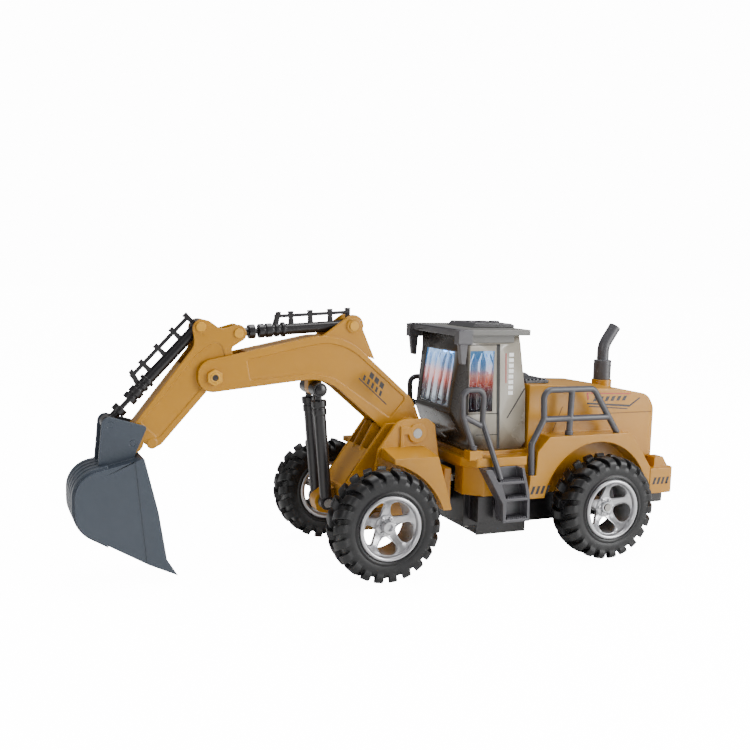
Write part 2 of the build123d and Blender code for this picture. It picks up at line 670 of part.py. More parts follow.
def chassis_pan():
    pan_rear_x = hood_rear_x + 2.5
    outer = [
        (pan_front_x, -pan_half), (pan_rear_x, -pan_half), (pan_rear_x, pan_half), (pan_front_x, pan_half),
    ]
    pan = plan_prism(outer, pan_bottom, shell_bottom)
    pan -= plan_prism(inset(outer, pan_wall), pan_bottom + pan_wall, shell_bottom + 5)
    side_box = []
    for side in (-1, 1):
        low, high = sorted((side * (pan_half - 1), side * (lower_body_half - 0.5)))
        side_box.append(block(-72.0, -62.0, low, high, 23.0, shell_bottom))
    for box in side_box:
        pan += box
    # battery box under the cab
    x0 = battery_front_x + pan_wall
    x1 = battery_rear_x - pan_wall
    pan += block(x0, x1, -pan_half, pan_half, battery_bottom, pan_bottom + pan_wall)
    pan -= block(battery_front_x, battery_rear_x, -cell_length / 2 - cell_gap,
                 cell_length / 2 + cell_gap, battery_bottom - 1, 31.0)
    pan -= block(x0 + 0.9, x1 - 0.9, -pan_half + 0.9, pan_half - 0.9, battery_bottom - 1,
                 battery_bottom + battery_cover_thick + seat_gap)
    # upright front wall with the two steering lugs
    front = block(pan_front_x - pan_wall, pan_front_x, -pan_half, pan_half, pan_bottom, 52.0)
    front -= block(-65, -50, -17.6, 17.6, tongue_bottom - 0.2, tongue_top + gear_face + 0.4)
    pan += front
    upper = tongue_top + gear_face + 0.4
    for z0, z1 in ((30.0, tongue_bottom - 0.2), (upper, upper + 3.6)):
        pan += block(pan_front_x - 1.0, steer_x, -6.0, 6.0, z0, z1) + rod_z(steer_x, 0, 6.0, z0, z1)
    pan += block(-74.0, pan_front_x - 1.0, -9.0, 9.0, upper, upper + 1.8)
    pan -= rod_z(steer_x, 0, steer_pin_radius, 10, 60)
    pan -= rod_z(steer_pinion_x, 0, pinion_shaft_radius + running, 40, 60)
    # posts for the circuit board
    for x in (-103.0, -119.0):
        for y in (-18.0, 18.0):
            pan += rod_z(x, y, 2.2, pan_bottom, board_z)
    # the slot for the switch
    pan -= block(switch_x - 3.8, switch_x + 3.8, -3.0, 3.0, pan_bottom - 1, pan_bottom + pan_wall + 1)
    pan -= rod_y(rear_axle, axle_radius + running, -60, 60)
    for x, y in screw_places:
        pan -= rod_z(x, y, screw_radius, pan_bottom - 2, pan_bottom + 12)
    return pan


pan_front_x = body_front_x - shell_wall - seat_gap
battery_front_x = -68.6
battery_rear_x = battery_front_x - 4 * cell_radius - 2 * cell_gap
board_z = 40.0
switch_x = -110.0
switch_travel = 3.0
screw_rows = ((-63.0, 20.0), (-124.0, 22.0), (hood_rear_x + 9.5, 18.0))
screw_places = [(x, side * y) for x, y in screw_rows for side in (-1, 1)]
steer_distance = gear_module * (steer_gear_teeth + steer_pinion_teeth) / 2
steer_pinion_x = steer_x - steer_distance
drive_distance = gear_module * (axle_gear_teeth + motor_pinion_teeth) / 2
drive_angle = math.radians(60.0)
motor_axis = (
    rear_axle[0] + drive_distance * math.cos(drive_angle),
    rear_axle[1] + drive_distance * math.sin(drive_angle),
)


def battery_cover():
    x0 = battery_front_x + pan_wall - 0.9 - seat_gap
    x1 = battery_rear_x - pan_wall + 0.9 + seat_gap
    half = pan_half - 0.9 - seat_gap
    return block(x0, x1, -half, half, battery_bottom, battery_bottom + battery_cover_thick)


def battery_cells():
    z = battery_bottom + battery_cover_thick + cell_radius + 0.2
    cells = []
    for k in range(2):
        x = battery_front_x - cell_gap / 2 - cell_radius - k * (2 * cell_radius + cell_gap)
        cells.append(rod_y((x, z), cell_radius, -cell_length / 2 + 0.5, cell_length / 2 - 0.5)
                     + rod_y((x, z), 2.7, cell_length / 2 - 0.6, cell_length / 2))
    return cells


def rear_bumper():
    outer = [(bumper_front_x, -fender_half), (bumper_rear_x, -fender_half, 5.0),
             (bumper_rear_x, fender_half, 5.0), (bumper_front_x, fender_half)]
    bumper = plan_prism(outer, bumper_bottom, bumper_top)
    under = [(bumper_front_x, -fender_half + 3), (bumper_rear_x + 4, -fender_half + 3, 5.0),
             (bumper_rear_x + 4, fender_half - 3, 5.0), (bumper_front_x, fender_half - 3)]
    bumper += plan_prism(under, 27.0, bumper_bottom)
    for side in (-1, 1):
        low, high = sorted((side * (hood_half + 1.0), side * 36.5))
        bump = [(bumper_rear_x + 13.9, bumper_top - 1), (bumper_rear_x + 13.2, 54.6, 1.0),
                (bumper_rear_x + 7.0, 54.6, 1.0), (bumper_rear_x + 2.2, bumper_top - 1)]
        bumper += side_prism(bump, low, high)
    room = hood_half + seat_gap
    bumper -= block(hood_rear_x - seat_gap, bumper_front_x + 6.6, -room, room, 20, 60)
    for side in (-1, 1):
        bumper -= rod_x(side * 31.0, 37.0, tail_lamp_radius, bumper_rear_x + 3.0, bumper_rear_x - 1)
    return bumper


def tail_lamps():
    return [
        rod_x(side * 31.0, 37.0, tail_lamp_radius, bumper_rear_x + 3.0, bumper_rear_x - tail_lamp_depth)
        for side in (-1, 1)
    ]


# --- cab ---------------------------------------------------------------------------------------
cab_side = [
    (-53.4, roof_bottom), (-53.7, 118.5), (-49.6, 86.0, 3.0), (-48.8, 83.4, 2.0), (-53.0, 74.6),
    (-57.6, 69.6), (-58.6, cab_bottom), (-93.2, cab_bottom, 2.0), (-95.9, 66.0, 2.0), (-94.6, 96.0),
    (-93.4, 102.0), (-90.2, 122.4), (-89.0, roof_bottom),
]
windscreen_bottom = 86.5
windscreen_top = 117.5
side_window_front = -58.2
side_window_rear = -73.6
side_window_bottom = 84.4
side_window_top = 118.8


def cab_plan(shrink):
    half = cab_half - shrink
    return [(-46.0 - shrink, -20.0 + shrink), (-58.0 - shrink, -half), (-100.0, -half), (-100.0, half),
            (-58.0 - shrink, half), (-46.0 - shrink, 20.0 - shrink)]


def cab_solid(shrink):
    """The cab's outer form, or the same form shrunk on every face."""
    outline = inset(cab_side, shrink) if shrink else cab_side
    return side_prism(outline, -cab_half, cab_half) & plan_prism(cab_plan(shrink), 50, 140)


def cab_openings(gap):
    """Cutters for the windscreen, the two side windows and the rear window, smaller by a gap."""
    cutters = [block(-60.0, -40.0, -windscreen_half + gap, windscreen_half - gap,
                     windscreen_bottom + gap, windscreen_top - gap)]
    for side in (-1, 1):
        low, high = sorted((side * 18.0, side * 30.0))
        cutters.append(block(side_window_rear + gap, side_window_front - gap, low, high,
                             side_window_bottom + gap, side_window_top - gap))
    cutters.append(block(-100.0, -86.0, -16.0 + gap, 16.0 - gap, windscreen_bottom + gap, 116.0 - gap))
    return cutters


def cab_frame():
    frame = cab_solid(0) - cab_solid(cab_wall)
    frame -= block(-90, -60, -20, 20, 126.4, 130)
    for cutter in cab_openings(0):
        frame -= cutter
    return frame


def cab_windows():
    glass = cab_solid(0.15) - cab_solid(cab_wall - 0.15)
    return [(glass & cutter).solids()[0] for cutter in cab_openings(0.08)]


def cab_roof():
    corners = [(-48.6, -roof_half, 1.5), (-93.0, -roof_half, 1.5), (-93.0, roof_half, 1.5),
               (-48.6, roof_half, 1.5)]
    roof = plan_prism(corners, roof_bottom, roof_bottom + roof_thick)
    nose = [(-46.9, -roof_half), (-55.8, -roof_half), (-55.8, -roof_half + 5.0), (-46.9, -roof_half + 5.0)]
    for side in (-1, 1):
        block_corners = [(x, -side * y) for x, y in nose]
        roof += plan_prism(block_corners, 123.0, roof_bottom + roof_thick - 0.4)
        low, high = sorted((side * (cab_half + 0.1), side * (cab_half + 1.6)))
        roof += block(-85.0, -55.0, low, high, 123.4, roof_bottom)
    visor_half = roof_half - 5.0
    visor = [(-48.9, -visor_half), (-47.5, 0.0, 60.0), (-48.9, visor_half), (-53.0, visor_half),
             (-53.0, -visor_half)]
    # the mirrors hang from the corner blocks
    mirror_side = [(-48.0, 124.0), (-49.6, 112.2, 0.8), (-52.4, 111.6, 0.8), (-53.4, 124.0)]
    for side in (-1, 1):
        roof += plates(mirror_side, 29.4, 32.6, side)
    return roof + plan_prism(visor, roof_bottom - 0.6, roof_bottom + roof_thick - 0.8)


def roof_unit():
    side = [(-64.5, 131.0), (-67.5, 133.6, 0.8), (-91.0, 133.4, 0.8), (-96.0, 131.0)]
    top = roof_bottom + roof_thick
    unit = side_prism([(x, z if z > 132 else top, *r) for x, z, *r in side], -15.0, 15.0)
    for x in (-73.0, -80.5, -88.0):
        unit += rod_z(x, 0, 3.2, 132.5, 134.2) - rod_z(x, 0, 2.3, 133.6, 135)
    return unit & block(-93.0, -60, -20, 20, 120, 140)


def cab_seats():
    floor = cab_bottom + cab_wall
    outline = [(-83.6, floor), (-84.4, 96.0, 1.5), (-80.6, 96.0, 1.5), (-79.0, 74.0, 2.0), (-66.0, 74.0, 2.0),
               (-66.0, floor)]
    bridge = block(-82.0, -68.0, -seat_inner - 1.0, seat_inner + 1.0, floor, floor + 1.6)
    right = side_prism(outline, -seat_outer, -seat_inner)
    left = side_prism(outline, seat_inner, seat_outer)
    return right + left + bridge


def cab_dashboard():
    desk = side_prism([(-64.0, cab_bottom + cab_wall), (-64.0, 76.0, 1.0), (-62.0, 80.0, 1.5), (-57.6, 80.0),
                       (-60.4, 71.0), (-61.4, cab_bottom + cab_wall)], -16.0, 16.0)
    wheel = Pos(-64.2, 8.0, 82.4) * Rot(0, -55, 0) * Torus(3.6, 0.6)
    column = tube([(-61.4, 8.0, 79.0), (-64.2, 8.0, 82.6)], 0.7, [])
    spokes = Pos(-64.2, 8.0, 82.4) * Rot(0, -55, 0) * Box(7.4, 1.0, 0.8)
    return desk + wheel + column + spokes


def cab_lamps():
    board = block(-74.0, -58.0, -10.0, 10.0, 120.2, 121.4)
    lamps = board
    for x in (-62.0, -70.0):
        for y in (-6.0, 6.0):
            lamps += rod_z(x, y, 1.5, 117.5, 120.3)
    hangers = block(-74.0, -72.0, -10.0, 10.0, 121.3, 126.0)
    return lamps + hangers


def ladder(side):
    back = ladder_outer - ladder_depth
    outline = [(-60.6, 55.0), (-72.4, 35.4), (-73.0, 24.4, 0.8), (-90.2, 24.4, 0.8), (-89.6, 40.0),
               (-85.4, 55.0)]
    shape = plates(outline, lower_body_half, ladder_outer, side)
    steps = (
        [(-64.4, 56.0), (-69.0, 47.8), (-85.4, 47.8), (-83.4, 56.0)],
        [(-71.2, 46.2), (-74.4, 38.0), (-87.8, 38.0), (-86.0, 46.2)],
        [(-74.8, 36.4), (-74.8, 26.2), (-88.4, 26.2), (-88.2, 36.4)],
    )
    for step in steps:
        shape -= plates(step, back + 1.4, ladder_outer + 1, side)
    return shape


def grab_rail(side):
    y = side * grab_rail_y
    far = side * (ladder_outer - 2.0)
    loop = [(-58.4, y, 65.0), (-51.2, y, 83.6), (-50.4, y, 98.0), (-63.8, y, 98.0), (-63.6, y, 80.0),
            (-71.6, far, 48.8)]
    rail = tube(loop, grab_rail_radius, [4.0, 4.5, 4.5, 6.0])
    rail += tube([(-52.2, y, 83.2), (-63.5, y, 77.6)], grab_rail_radius, [])
    rail += rod_z(-58.5, y, 2.1, 64.4, 67.0)
    low, high = sorted((side * (grab_rail_y - 3.8), side * (grab_rail_y + 3.7)))
    return rail - block(-70.0, -50.0, low, high, 60.0, 64.4)


def deck_rail(side):
    y = side * deck_rail_y
    step = side * (fender_half - 2.2)
    loop = [(-94.4, step, 49.0), (-93.6, step, 66.5), (-102.0, y, 80.6), (-101.0, y, 97.2),
            (rear_axle[0] + 3.5, y, 97.2), (rear_axle[0] - 14.5, y, deck_z)]
    rail = tube(loop, deck_rail_radius, [4.0, 4.0, 5.0, 5.0])
    rail += tube([(-102.0, y, 80.4), (rear_axle[0] - 7.9, y, 80.4)], deck_rail_radius, [])
    rail += tube([(-120.0, y, 97.2), (-119.4, y, deck_z)], deck_rail_radius, [])
    rail += rod_z(-119.4, y, 2.4, deck_z, deck_z + 2.4)
    foot_room = block(-98.0, -90.0, 0, side * 60.0, 47.0, 49.0)
    return rail - plates(fender_side, 0, fender_half + 5.0, side) - foot_room


def exhaust():
    stack = rod_z(exhaust_x, 0, 5.4, 98.0, 110.0)
    path = [(exhaust_x, 0, 109.0), (exhaust_x, 0, 119.0), (exhaust_x - 8.0, 0, 131.0)]
    stack += tube(path, 3.7, [12.0])
    return stack - tube([(exhaust_x - 6.5, 0, 128.75), (exhaust_x - 9.0, 0, 132.5)], 2.7, [])


def hood_vent():
    corners = [(hood_front_x - 1.0, -22.0), (-114.5, -22.0, 2.0), (-114.5, 22.0, 2.0),
               (hood_front_x - 1.0, 22.0)]
    plate = plan_prism(corners, 99.2, 100.8)
    for k in range(6):
        x = hood_front_x - 3.2 - 2.6 * k
        plate += block(x - 0.7, x + 0.7, -19.0, 19.0, 100.6, 101.5)
    return plate - side_prism(hood_side, -hood_half, hood_half)


# --- drive inside the body ------------------------------------------------------------------------
def gearbox_case():
    rear = rear_axle[0] - 11.1
    front = rear_axle[0] + 17.0
    outline = [(rear, 21.0), (rear, 38.0, 4.0), (rear + 8.6, 53.0, 5.0), (front, 53.0, 5.0), (front, 21.0)]
    case = side_prism(outline, -5.0, -3.4) + side_prism(outline, 5.2, 6.8)
    for x, z in ((rear + 2.0, 22.9), (front - 1.9, 22.9), (rear + 8.0, 49.6)):
        case += rod_y((x, z), 1.6, -4.0, 6.0)
    case -= rod_y(rear_axle, axle_radius + running, -20, 20)
    case -= rod_y(motor_axis, pinion_shaft_radius + running, -4.0, 20)
    return case - rod_y(motor_axis, 3.0, -6.0, -3.0)


def drive_motor():
    body = rod_y(motor_axis, 10.0, -23.5, -5.0)
    flats = block(motor_axis[0] - 7.6, motor_axis[0] + 7.6, -26, -4, 30, 60)
    return (body & flats) - rod_y(motor_axis, pinion_shaft_radius + running, -40, 0)


def motor_pinion():
    toward = drive_angle + math.pi
    phase = -(toward + math.pi / motor_pinion_teeth)
    gear = Rot(90, 0, 0) * whole_gear(motor_pinion_teeth, -phase, pinion_shaft_radius - 0.3, gear_face)
    shape = Pos(motor_axis[0], 1.0, motor_axis[1]) * gear
    return shape + rod_y(motor_axis, pinion_shaft_radius, -15.0, 6.6)


def axle_gear():
    gear = Rot(90, 0, 0) * whole_gear(axle_gear_teeth, drive_angle, axle_radius, gear_face)
    return Pos(rear_axle[0], 1.0, rear_axle[1]) * gear


def steering_pinion():
    phase = math.pi / steer_pinion_teeth
    gear = whole_gear(steer_pinion_teeth, phase, pinion_shaft_radius - 0.3, gear_face)
    shape = Pos(steer_pinion_x, 0, tongue_top + gear_face / 2) * gear
    return shape + rod_z(steer_pinion_x, 0, pinion_shaft_radius, tongue_top - 0.6, 54.0)


def steering_motor():
    bottom = tongue_top + gear_face + 0.4 + 1.8
    motor = rod_z(steer_pinion_x, 0, 6.0, bottom, platform_top - shell_wall - 0.3)
    return motor - rod_z(steer_pinion_x, 0, pinion_shaft_radius + running, 40, 60)


def circuit_board():
    board = block(-121.0, -101.0, -21.0, 21.0, board_z, board_z + 1.6)
    board += block(-116.0, -108.0, -6.0, 6.0, board_z + 1.5, board_z + 3.4)
    board += rod_z(-106.0, 12.0, 2.5, board_z + 1.5, board_z + 8.0)
    return board + block(-119.0, -116.0, 8.0, 16.0, board_z + 1.5, board_z + 6.0)


def switch_case():
    floor = pan_bottom + pan_wall
    case = block(switch_x - 7.0, switch_x + 7.0, -4.6, 4.6, floor, floor + 6.0)
    return case - block(switch_x - 3.8, switch_x + 3.8, -3.0, 3.0, floor - 1, floor + 4.0)


def switch_knob():
    floor = pan_bottom + pan_wall
    x = switch_x - switch_travel / 2
    return block(x - 2.0, x + 2.0, -2.8, 2.8, pan_bottom - 1.2, floor + 3.6)


def chassis_screws():
    screws = []
    for x, y in screw_places:
        shank = rod_z(x, y, screw_radius, pan_bottom - 0.2, pan_bottom + 9.0)
        head = rod_z(x, y, screw_head_radius, pan_bottom - screw_head_height, pan_bottom)
        screws.append(shank + head - block(x - 1.6, x + 1.6, y - 0.3, y + 0.3, pan_bottom - 2,
                                           pan_bottom - screw_head_height + 0.5))
    return screws


# --- every named piece --------------------------------------------------------------------------
def collect():
    pieces = {}
    for label, side in (("left", 1), ("right", -1)):
        pieces["front_tyre_" + label] = wheel_at(tyre(), front_axle, side)
        pieces["rear_tyre_" + label] = wheel_at(tyre(), rear_axle, side)
        pieces["front_rim_" + label] = wheel_at(rim(side, axle_radius + running), front_axle, side)
        pieces["rear_rim_" + label] = wheel_at(rim(side, axle_radius), rear_axle, side)
        pieces["boom_half_" + label] = boom_half(side)
        pieces["stick_half_" + label] = stick_half(side)
        pieces["front_side_" + label] = front_side(side)
        pieces["grab_rail_" + label] = grab_rail(side)
    axle_end = tyre_centre_y + tyre_width / 2 - rim_recess + 3.6
    cap = 2.4
    pieces["front_axle_shaft"] = rod_y(front_axle, axle_radius, -axle_end, axle_end)
    pieces["front_axle_caps"] = [
        rod_y(front_axle, 3.4, *sorted((side * (axle_end - 1.0), side * (axle_end + cap))))
        - rod_y(front_axle, axle_radius, *sorted((0, side * axle_end)))
        for side in (-1, 1)
    ]
    pieces["rear_axle_shaft"] = rod_y(rear_axle, axle_radius, -axle_end, axle_end)
    pieces["axle_gear"] = axle_gear()
    pieces["motor_pinion"] = motor_pinion()
    pieces["drive_motor"] = drive_motor()
    pieces["gearbox_case"] = gearbox_case()
    pieces["front_frame"] = front_frame()
    reach = side_plate_outer + 1.2
    pieces["articulation_pin"] = rod_z(steer_x, 0, steer_pin_radius, 30.0, 51.0)
    pieces["steering_gear"] = steering_gear()
    pieces["steering_pinion"] = steering_pinion()
    pieces["steering_motor"] = steering_motor()
    lift_reach = lift_ram_y + lift_ram_half + 0.3
    pieces["frame_pins"] = [
        rod_y(boom_pivot, boom_pivot_radius, -reach, reach),
        pin(lift_base_pin, pin_radius, lift_reach, 2.4, 0.8),
    ]
    pieces["boom_pins"] = [
        pin(stick_ram_base, pin_radius, boom_inner_half + 1.2, 2.6, 0.6),
        pin(lift_top_pin, pin_radius, 12.2, 2.6, 0.6),
        rod_y(stick_pivot, pin_radius, -boom_half_width, boom_half_width)
        + hexagon(stick_pivot, 7.6, boom_half_width, boom_half_width + 1.8)
        + hexagon(stick_pivot, 7.6, -boom_half_width - 1.8, -boom_half_width),
    ]
    pieces["stick_pins"] = [
        pin(stick_ram_end, pin_radius, stick_half_width, 2.6, 0.8),
        pin(bucket_ram_base, pin_radius, stick_half_width, 2.6, 0.8),
    ]
    ear_face = stick_half_width + ear_gap + ear_wall
    pieces["bucket"] = bucket()
    pieces["bucket_pins"] = [
        rod_y(bucket_pivot, pin_radius, -ear_face, ear_face),
        rod_y(bucket_ram_end, pin_radius, -ear_face, ear_face),
    ]
    lift_reach = span(lift_base_pin, lift_top_pin)
    pieces["lift_barrels"] = [along(lift_base_pin, lift_top_pin, lift_barrel(s)) for s in (-1, 1)]
    pieces["lift_rods"] = [along(lift_base_pin, lift_top_pin, lift_rod(s, lift_reach)) for s in (-1, 1)]
    for name, base, end in (
        ("stick_ram", stick_ram_base, stick_ram_end), ("bucket_ram", bucket_ram_base, bucket_ram_end)
    ):
        reach = span(base, end)
        pieces[name + "_barrel"] = along(base, end, ram_barrel(ram_length))
        pieces[name + "_rod"] = along(base, end, ram_rod(reach, reach - 50.0))
    pieces["ladders"] = [ladder(side) for side in (1, -1)]
    pieces["deck_rails"] = [deck_rail(side) for side in (1, -1)]
    pieces["body_shell"] = body_shell()
    pieces["chassis_pan"] = chassis_pan()
    pieces["rear_bumper"] = rear_bumper()
    pieces["tail_lamp_lenses"] = tail_lamps()
    pieces["hood_vent"] = hood_vent()
    pieces["exhaust_stack"] = exhaust()
    pieces["cab_frame"] = cab_frame()
    pieces["cab_windows"] = cab_windows()
    pieces["cab_roof"] = cab_roof()
    pieces["roof_unit"] = roof_unit()
    pieces["cab_seats"] = cab_seats()
    pieces["cab_dashboard"] = cab_dashboard()
    pieces["cab_lamps"] = cab_lamps()
    pieces["battery_cover"] = battery_cover()
    pieces["battery_cells"] = battery_cells()
    pieces["circuit_board"] = circuit_board()
    pieces["switch_case"] = switch_case()
    pieces["switch_knob"] = switch_knob()
    pieces["chassis_screws"] = chassis_screws()
    return pieces


def as_solids(shape):
    """The separate solids of a piece, as one list."""
    if isinstance(shape, list):
        return [solid for entry in shape for solid in entry.solids()]
    return list(shape.solids())


pieces = {name: as_solids(shape) for name, shape in collect().items()}
boxes = [solid.bounding_box() for solids in pieces.values() for solid in solids]
tail_x = min(box.min.X for box in boxes)
nose_x = max(box.max.X for box in boxes)
origin_x = (tail_x + nose_x) / 2
print("origin x", origin_x, "length", nose_x - tail_x)
for name, solids in pieces.items():
    placed = [Pos(-origin_x, 0, 0) * solid for solid in solids]
    group = placed[0] if len(placed) == 1 else Compound(children=placed)
    export_step(group, "parts/" + name + ".step")
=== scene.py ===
import json
import math

import bmesh
import bpy
import numpy as np
from mathutils import Matrix, Vector


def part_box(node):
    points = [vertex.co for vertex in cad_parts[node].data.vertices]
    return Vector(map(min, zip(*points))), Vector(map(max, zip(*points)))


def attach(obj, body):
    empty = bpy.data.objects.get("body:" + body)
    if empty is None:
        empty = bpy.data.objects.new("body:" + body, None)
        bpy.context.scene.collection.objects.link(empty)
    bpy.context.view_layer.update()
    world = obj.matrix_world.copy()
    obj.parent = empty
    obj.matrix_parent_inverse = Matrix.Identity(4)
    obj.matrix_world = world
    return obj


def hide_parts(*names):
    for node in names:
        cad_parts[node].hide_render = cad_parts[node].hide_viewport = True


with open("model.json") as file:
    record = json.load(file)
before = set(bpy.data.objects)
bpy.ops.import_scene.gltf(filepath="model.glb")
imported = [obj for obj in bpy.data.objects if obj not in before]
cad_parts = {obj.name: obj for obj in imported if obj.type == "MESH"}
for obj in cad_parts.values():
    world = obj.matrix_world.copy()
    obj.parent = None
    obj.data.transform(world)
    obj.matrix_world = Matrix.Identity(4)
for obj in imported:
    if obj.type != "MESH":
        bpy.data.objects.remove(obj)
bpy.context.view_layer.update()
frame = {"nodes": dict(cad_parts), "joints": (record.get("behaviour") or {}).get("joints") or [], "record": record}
NODES = frame["nodes"]
JOINTS = {joint["name"]: joint for joint in frame["joints"]}
BODIES = frame["record"]["behaviour"]["bodies"]
BODY_OF = {node: body for body, members in BODIES.items() for node in members}

MM = 0.001
WELD_MM = 0.002
SIDES = (("left", 1), ("right", -1))
FRONT_AXLE = np.array(JOINTS["front_wheel_left_spin"]["pos_m"]) / MM
REAR_AXLE = np.array(JOINTS["rear_axle_spin"]["pos_m"]) / MM
ORIGIN_X = FRONT_AXLE[0]


# --- colour and material nodes ------------------------------------------------------
def linear(code, alpha=1.0):
    """An sRGB hex code as linear red, green, blue and alpha."""
    channels = [int(code[k:k + 2], 16) / 255 for k in (1, 3, 5)]
    return [c / 12.92 if c <= 0.04045 else ((c + 0.055) / 1.055) ** 2.4 for c in channels] + [alpha]


def add_node(tree, kind, settings=None, links=None):
    """Adds one shader node: settings name its fields or its inputs, links feed its inputs."""
    node = tree.nodes.new(kind)
    for key, value in (settings or {}).items():
        if isinstance(key, str) and hasattr(node, key):
            setattr(node, key, value)
        else:
            node.inputs[key].default_value = value
    for key, source in (links or {}).items():
        tree.links.new(source, node.inputs[key])
    return node


def per_metre(size_mm):
    """The noise scale whose features are about this many millimetres across."""
    return 1.0 / (size_mm * MM)


def start(name, **sockets):
    """An empty material with one shader whose uniform values sit on its own sockets."""
    material = bpy.data.materials.new(name)
    material.use_nodes = True
    tree = material.node_tree
    shader = tree.nodes["Principled BSDF"]
    for key, value in sockets.items():
        shader.inputs[key.replace("_", " ")].default_value = value
    return material, tree, shader


def moulded(name, base, shade, edge_scuff_highlight_colour, roughness, grain_mm, grain_depth, patch_mm=18.0, edge_scuff_highlight_amount=0.5, second=None,
            **sockets):
    """A moulded plastic: slow colour drift, fine mould grain, edges paler from scuffing and from painted
    highlight, and uneven gloss.

    A second tone, given as (colour, source, axis, from, to), takes over as the place in mm or the facing
    along that axis runs from the first value to the last. Driven by the facing, it is painted shade.
    """
    material, tree, shader = start(name, **sockets)
    place = add_node(tree, "ShaderNodeTexCoord").outputs["Object"]
    drift = add_node(tree, "ShaderNodeTexNoise", {"Scale": per_metre(patch_mm), "Detail": 4.0},
                     {"Vector": place})
    tone = add_node(tree, "ShaderNodeMix", {"data_type": "RGBA", 6: linear(base), 7: linear(shade)},
                    {0: drift.outputs["Fac"]})
    rolled = add_node(tree, "ShaderNodeBevel", {"samples": 4, "Radius": 0.5 * MM})
    facing = add_node(tree, "ShaderNodeNewGeometry")
    edge = add_node(tree, "ShaderNodeVectorMath", {"operation": "DOT_PRODUCT"},
                    {0: rolled.outputs["Normal"], 1: facing.outputs["Normal"]})
    # paler edges: partly scuffing, partly painted highlight
    edge_scuff_highlight_mask = add_node(tree, "ShaderNodeMapRange", {"From Min": 0.995, "From Max": 0.86, "To Max": edge_scuff_highlight_amount},
                      {"Value": edge.outputs["Value"]})
    colour = add_node(tree, "ShaderNodeMix", {"data_type": "RGBA", 7: linear(edge_scuff_highlight_colour)},
                      {0: edge_scuff_highlight_mask.outputs["Result"], 6: tone.outputs[2]})
    finished = colour.outputs[2]
    # driven by the facing, the second tone is painted shade
    if second:
        tint, source, axis, first, last = second
        scale = MM if source == "place" else 1.0
        vector = place if source == "place" else facing.outputs["Normal"]
        parts = add_node(tree, "ShaderNodeSeparateXYZ", links={"Vector": vector})
        share = add_node(tree, "ShaderNodeMapRange", {"From Min": first * scale, "From Max": last * scale},
                         {"Value": parts.outputs[axis]})
        finished = add_node(tree, "ShaderNodeMix", {"data_type": "RGBA", 7: linear(tint)},
                            {0: share.outputs["Result"], 6: finished}).outputs[2]
    tree.links.new(finished, shader.inputs["Base Color"])
    gloss = add_node(tree, "ShaderNodeMapRange", {"To Min": roughness - 0.05, "To Max": roughness + 0.07},
                     {"Value": drift.outputs["Fac"]})
    tree.links.new(gloss.outputs["Result"], shader.inputs["Roughness"])
    grain = add_node(tree, "ShaderNodeTexNoise", {"Scale": per_metre(grain_mm), "Detail": 3.0},
                     {"Vector": place})
    bump = add_node(tree, "ShaderNodeBump", {"Strength": grain_depth, "Distance": 0.05 * MM},
                    {"Height": grain.outputs["Fac"], "Normal": rolled.outputs["Normal"]})
    tree.links.new(bump.outputs["Normal"], shader.inputs["Normal"])
    return material


def yellow_abs():
    """Ochre ABS, satin tool: slightly uneven yellow, softer gloss, paler on the rolled mould edges, partly from
    scuffing and partly as painted highlight.
    """
    return moulded("ochre_abs_moulded", "#B07900", "#A16E00", "#CB9620", 0.34, 0.5, 0.25, IOR=1.53)


def bumper_abs():
    """The same ochre ABS, with the black under-apron of the tail moulded below it."""
    return moulded("ochre_abs_black_apron", "#B07900", "#A16E00", "#CB9620", 0.34, 0.5, 0.25, IOR=1.53,
                   second=("#1E1A18", "place", "Z", 33.2, 33.0))


def yellow_nylon():
    """Pin heads in ochre nylon: a little paler and duller than the shells they hold."""
    return moulded("ochre_nylon_moulded", "#C9921A", "#BC8612", "#D9AC48", 0.42, 0.4, 0.3, IOR=1.53)


def slate_abs():
    """Slate blue-grey ABS of the bucket: cool, satin, with pale rib edges, partly scuffed and partly painted
    highlight.
    """
    return moulded("slate_abs_moulded", "#363E49", "#2E3640", "#66707D", 0.38, 0.5, 0.3, IOR=1.53)


def black_abs():
    """Black ABS of rams and chassis: near-black with a faint warm violet cast and broad soft gloss."""
    return moulded("black_abs_moulded", "#151215", "#100E10", "#383338", 0.3, 0.4, 0.3, IOR=1.53)


def cab_abs():
    """Warm grey ABS of the cab shell: polished sides, and painted shade as a dark tone on the faces that look
    forward.
    """
    # the dark second tone, chosen by facing, is painted shade
    return moulded("warm_grey_abs_polished", "#958F82", "#857F73", "#BDB7AA", 0.26, 0.7, 0.1,
                   Coat_Weight=0.12, Coat_Roughness=0.08, IOR=1.53,
                   second=("#2E2924", "facing", "X", 0.25, 0.6))


def roof_abs():
    """Grey ABS of the roof plate: satin and slightly dusty, with a darker front beam and corner blocks."""
    return moulded("light_grey_abs_satin", "#64635F", "#565551", "#96958F", 0.36, 0.5, 0.25, IOR=1.53,
                   second=("#4B4A4D", "place", "X", -35.0, -34.0))


def rail_abs():
    """Dark grey ABS of rails, ladders and exhaust: satin, pale on the outer edges, partly scuffed and partly
    painted highlight.
    """
    return moulded("dark_grey_abs_satin", "#464549", "#3B3A3E", "#79777E", 0.38, 0.45, 0.3, IOR=1.53)


def trim_abs():
    """Glossy charcoal ABS of the roof unit and seats."""
    return moulded("charcoal_abs_gloss", "#38373A", "#2C2B2E", "#6E6D70", 0.24, 0.6, 0.15, IOR=1.53)


def tyre_rubber():
    """Soft vinyl rubber: almost black, matt, with dusty grey on the tops of the lugs, partly dust and partly
    painted highlight, and a fine pebble.
    """
    return moulded("vinyl_rubber_matt", "#0F0F11", "#0B0B0D", "#242528", 0.42, 0.6, 0.5, edge_scuff_highlight_amount=0.6, IOR=1.45)


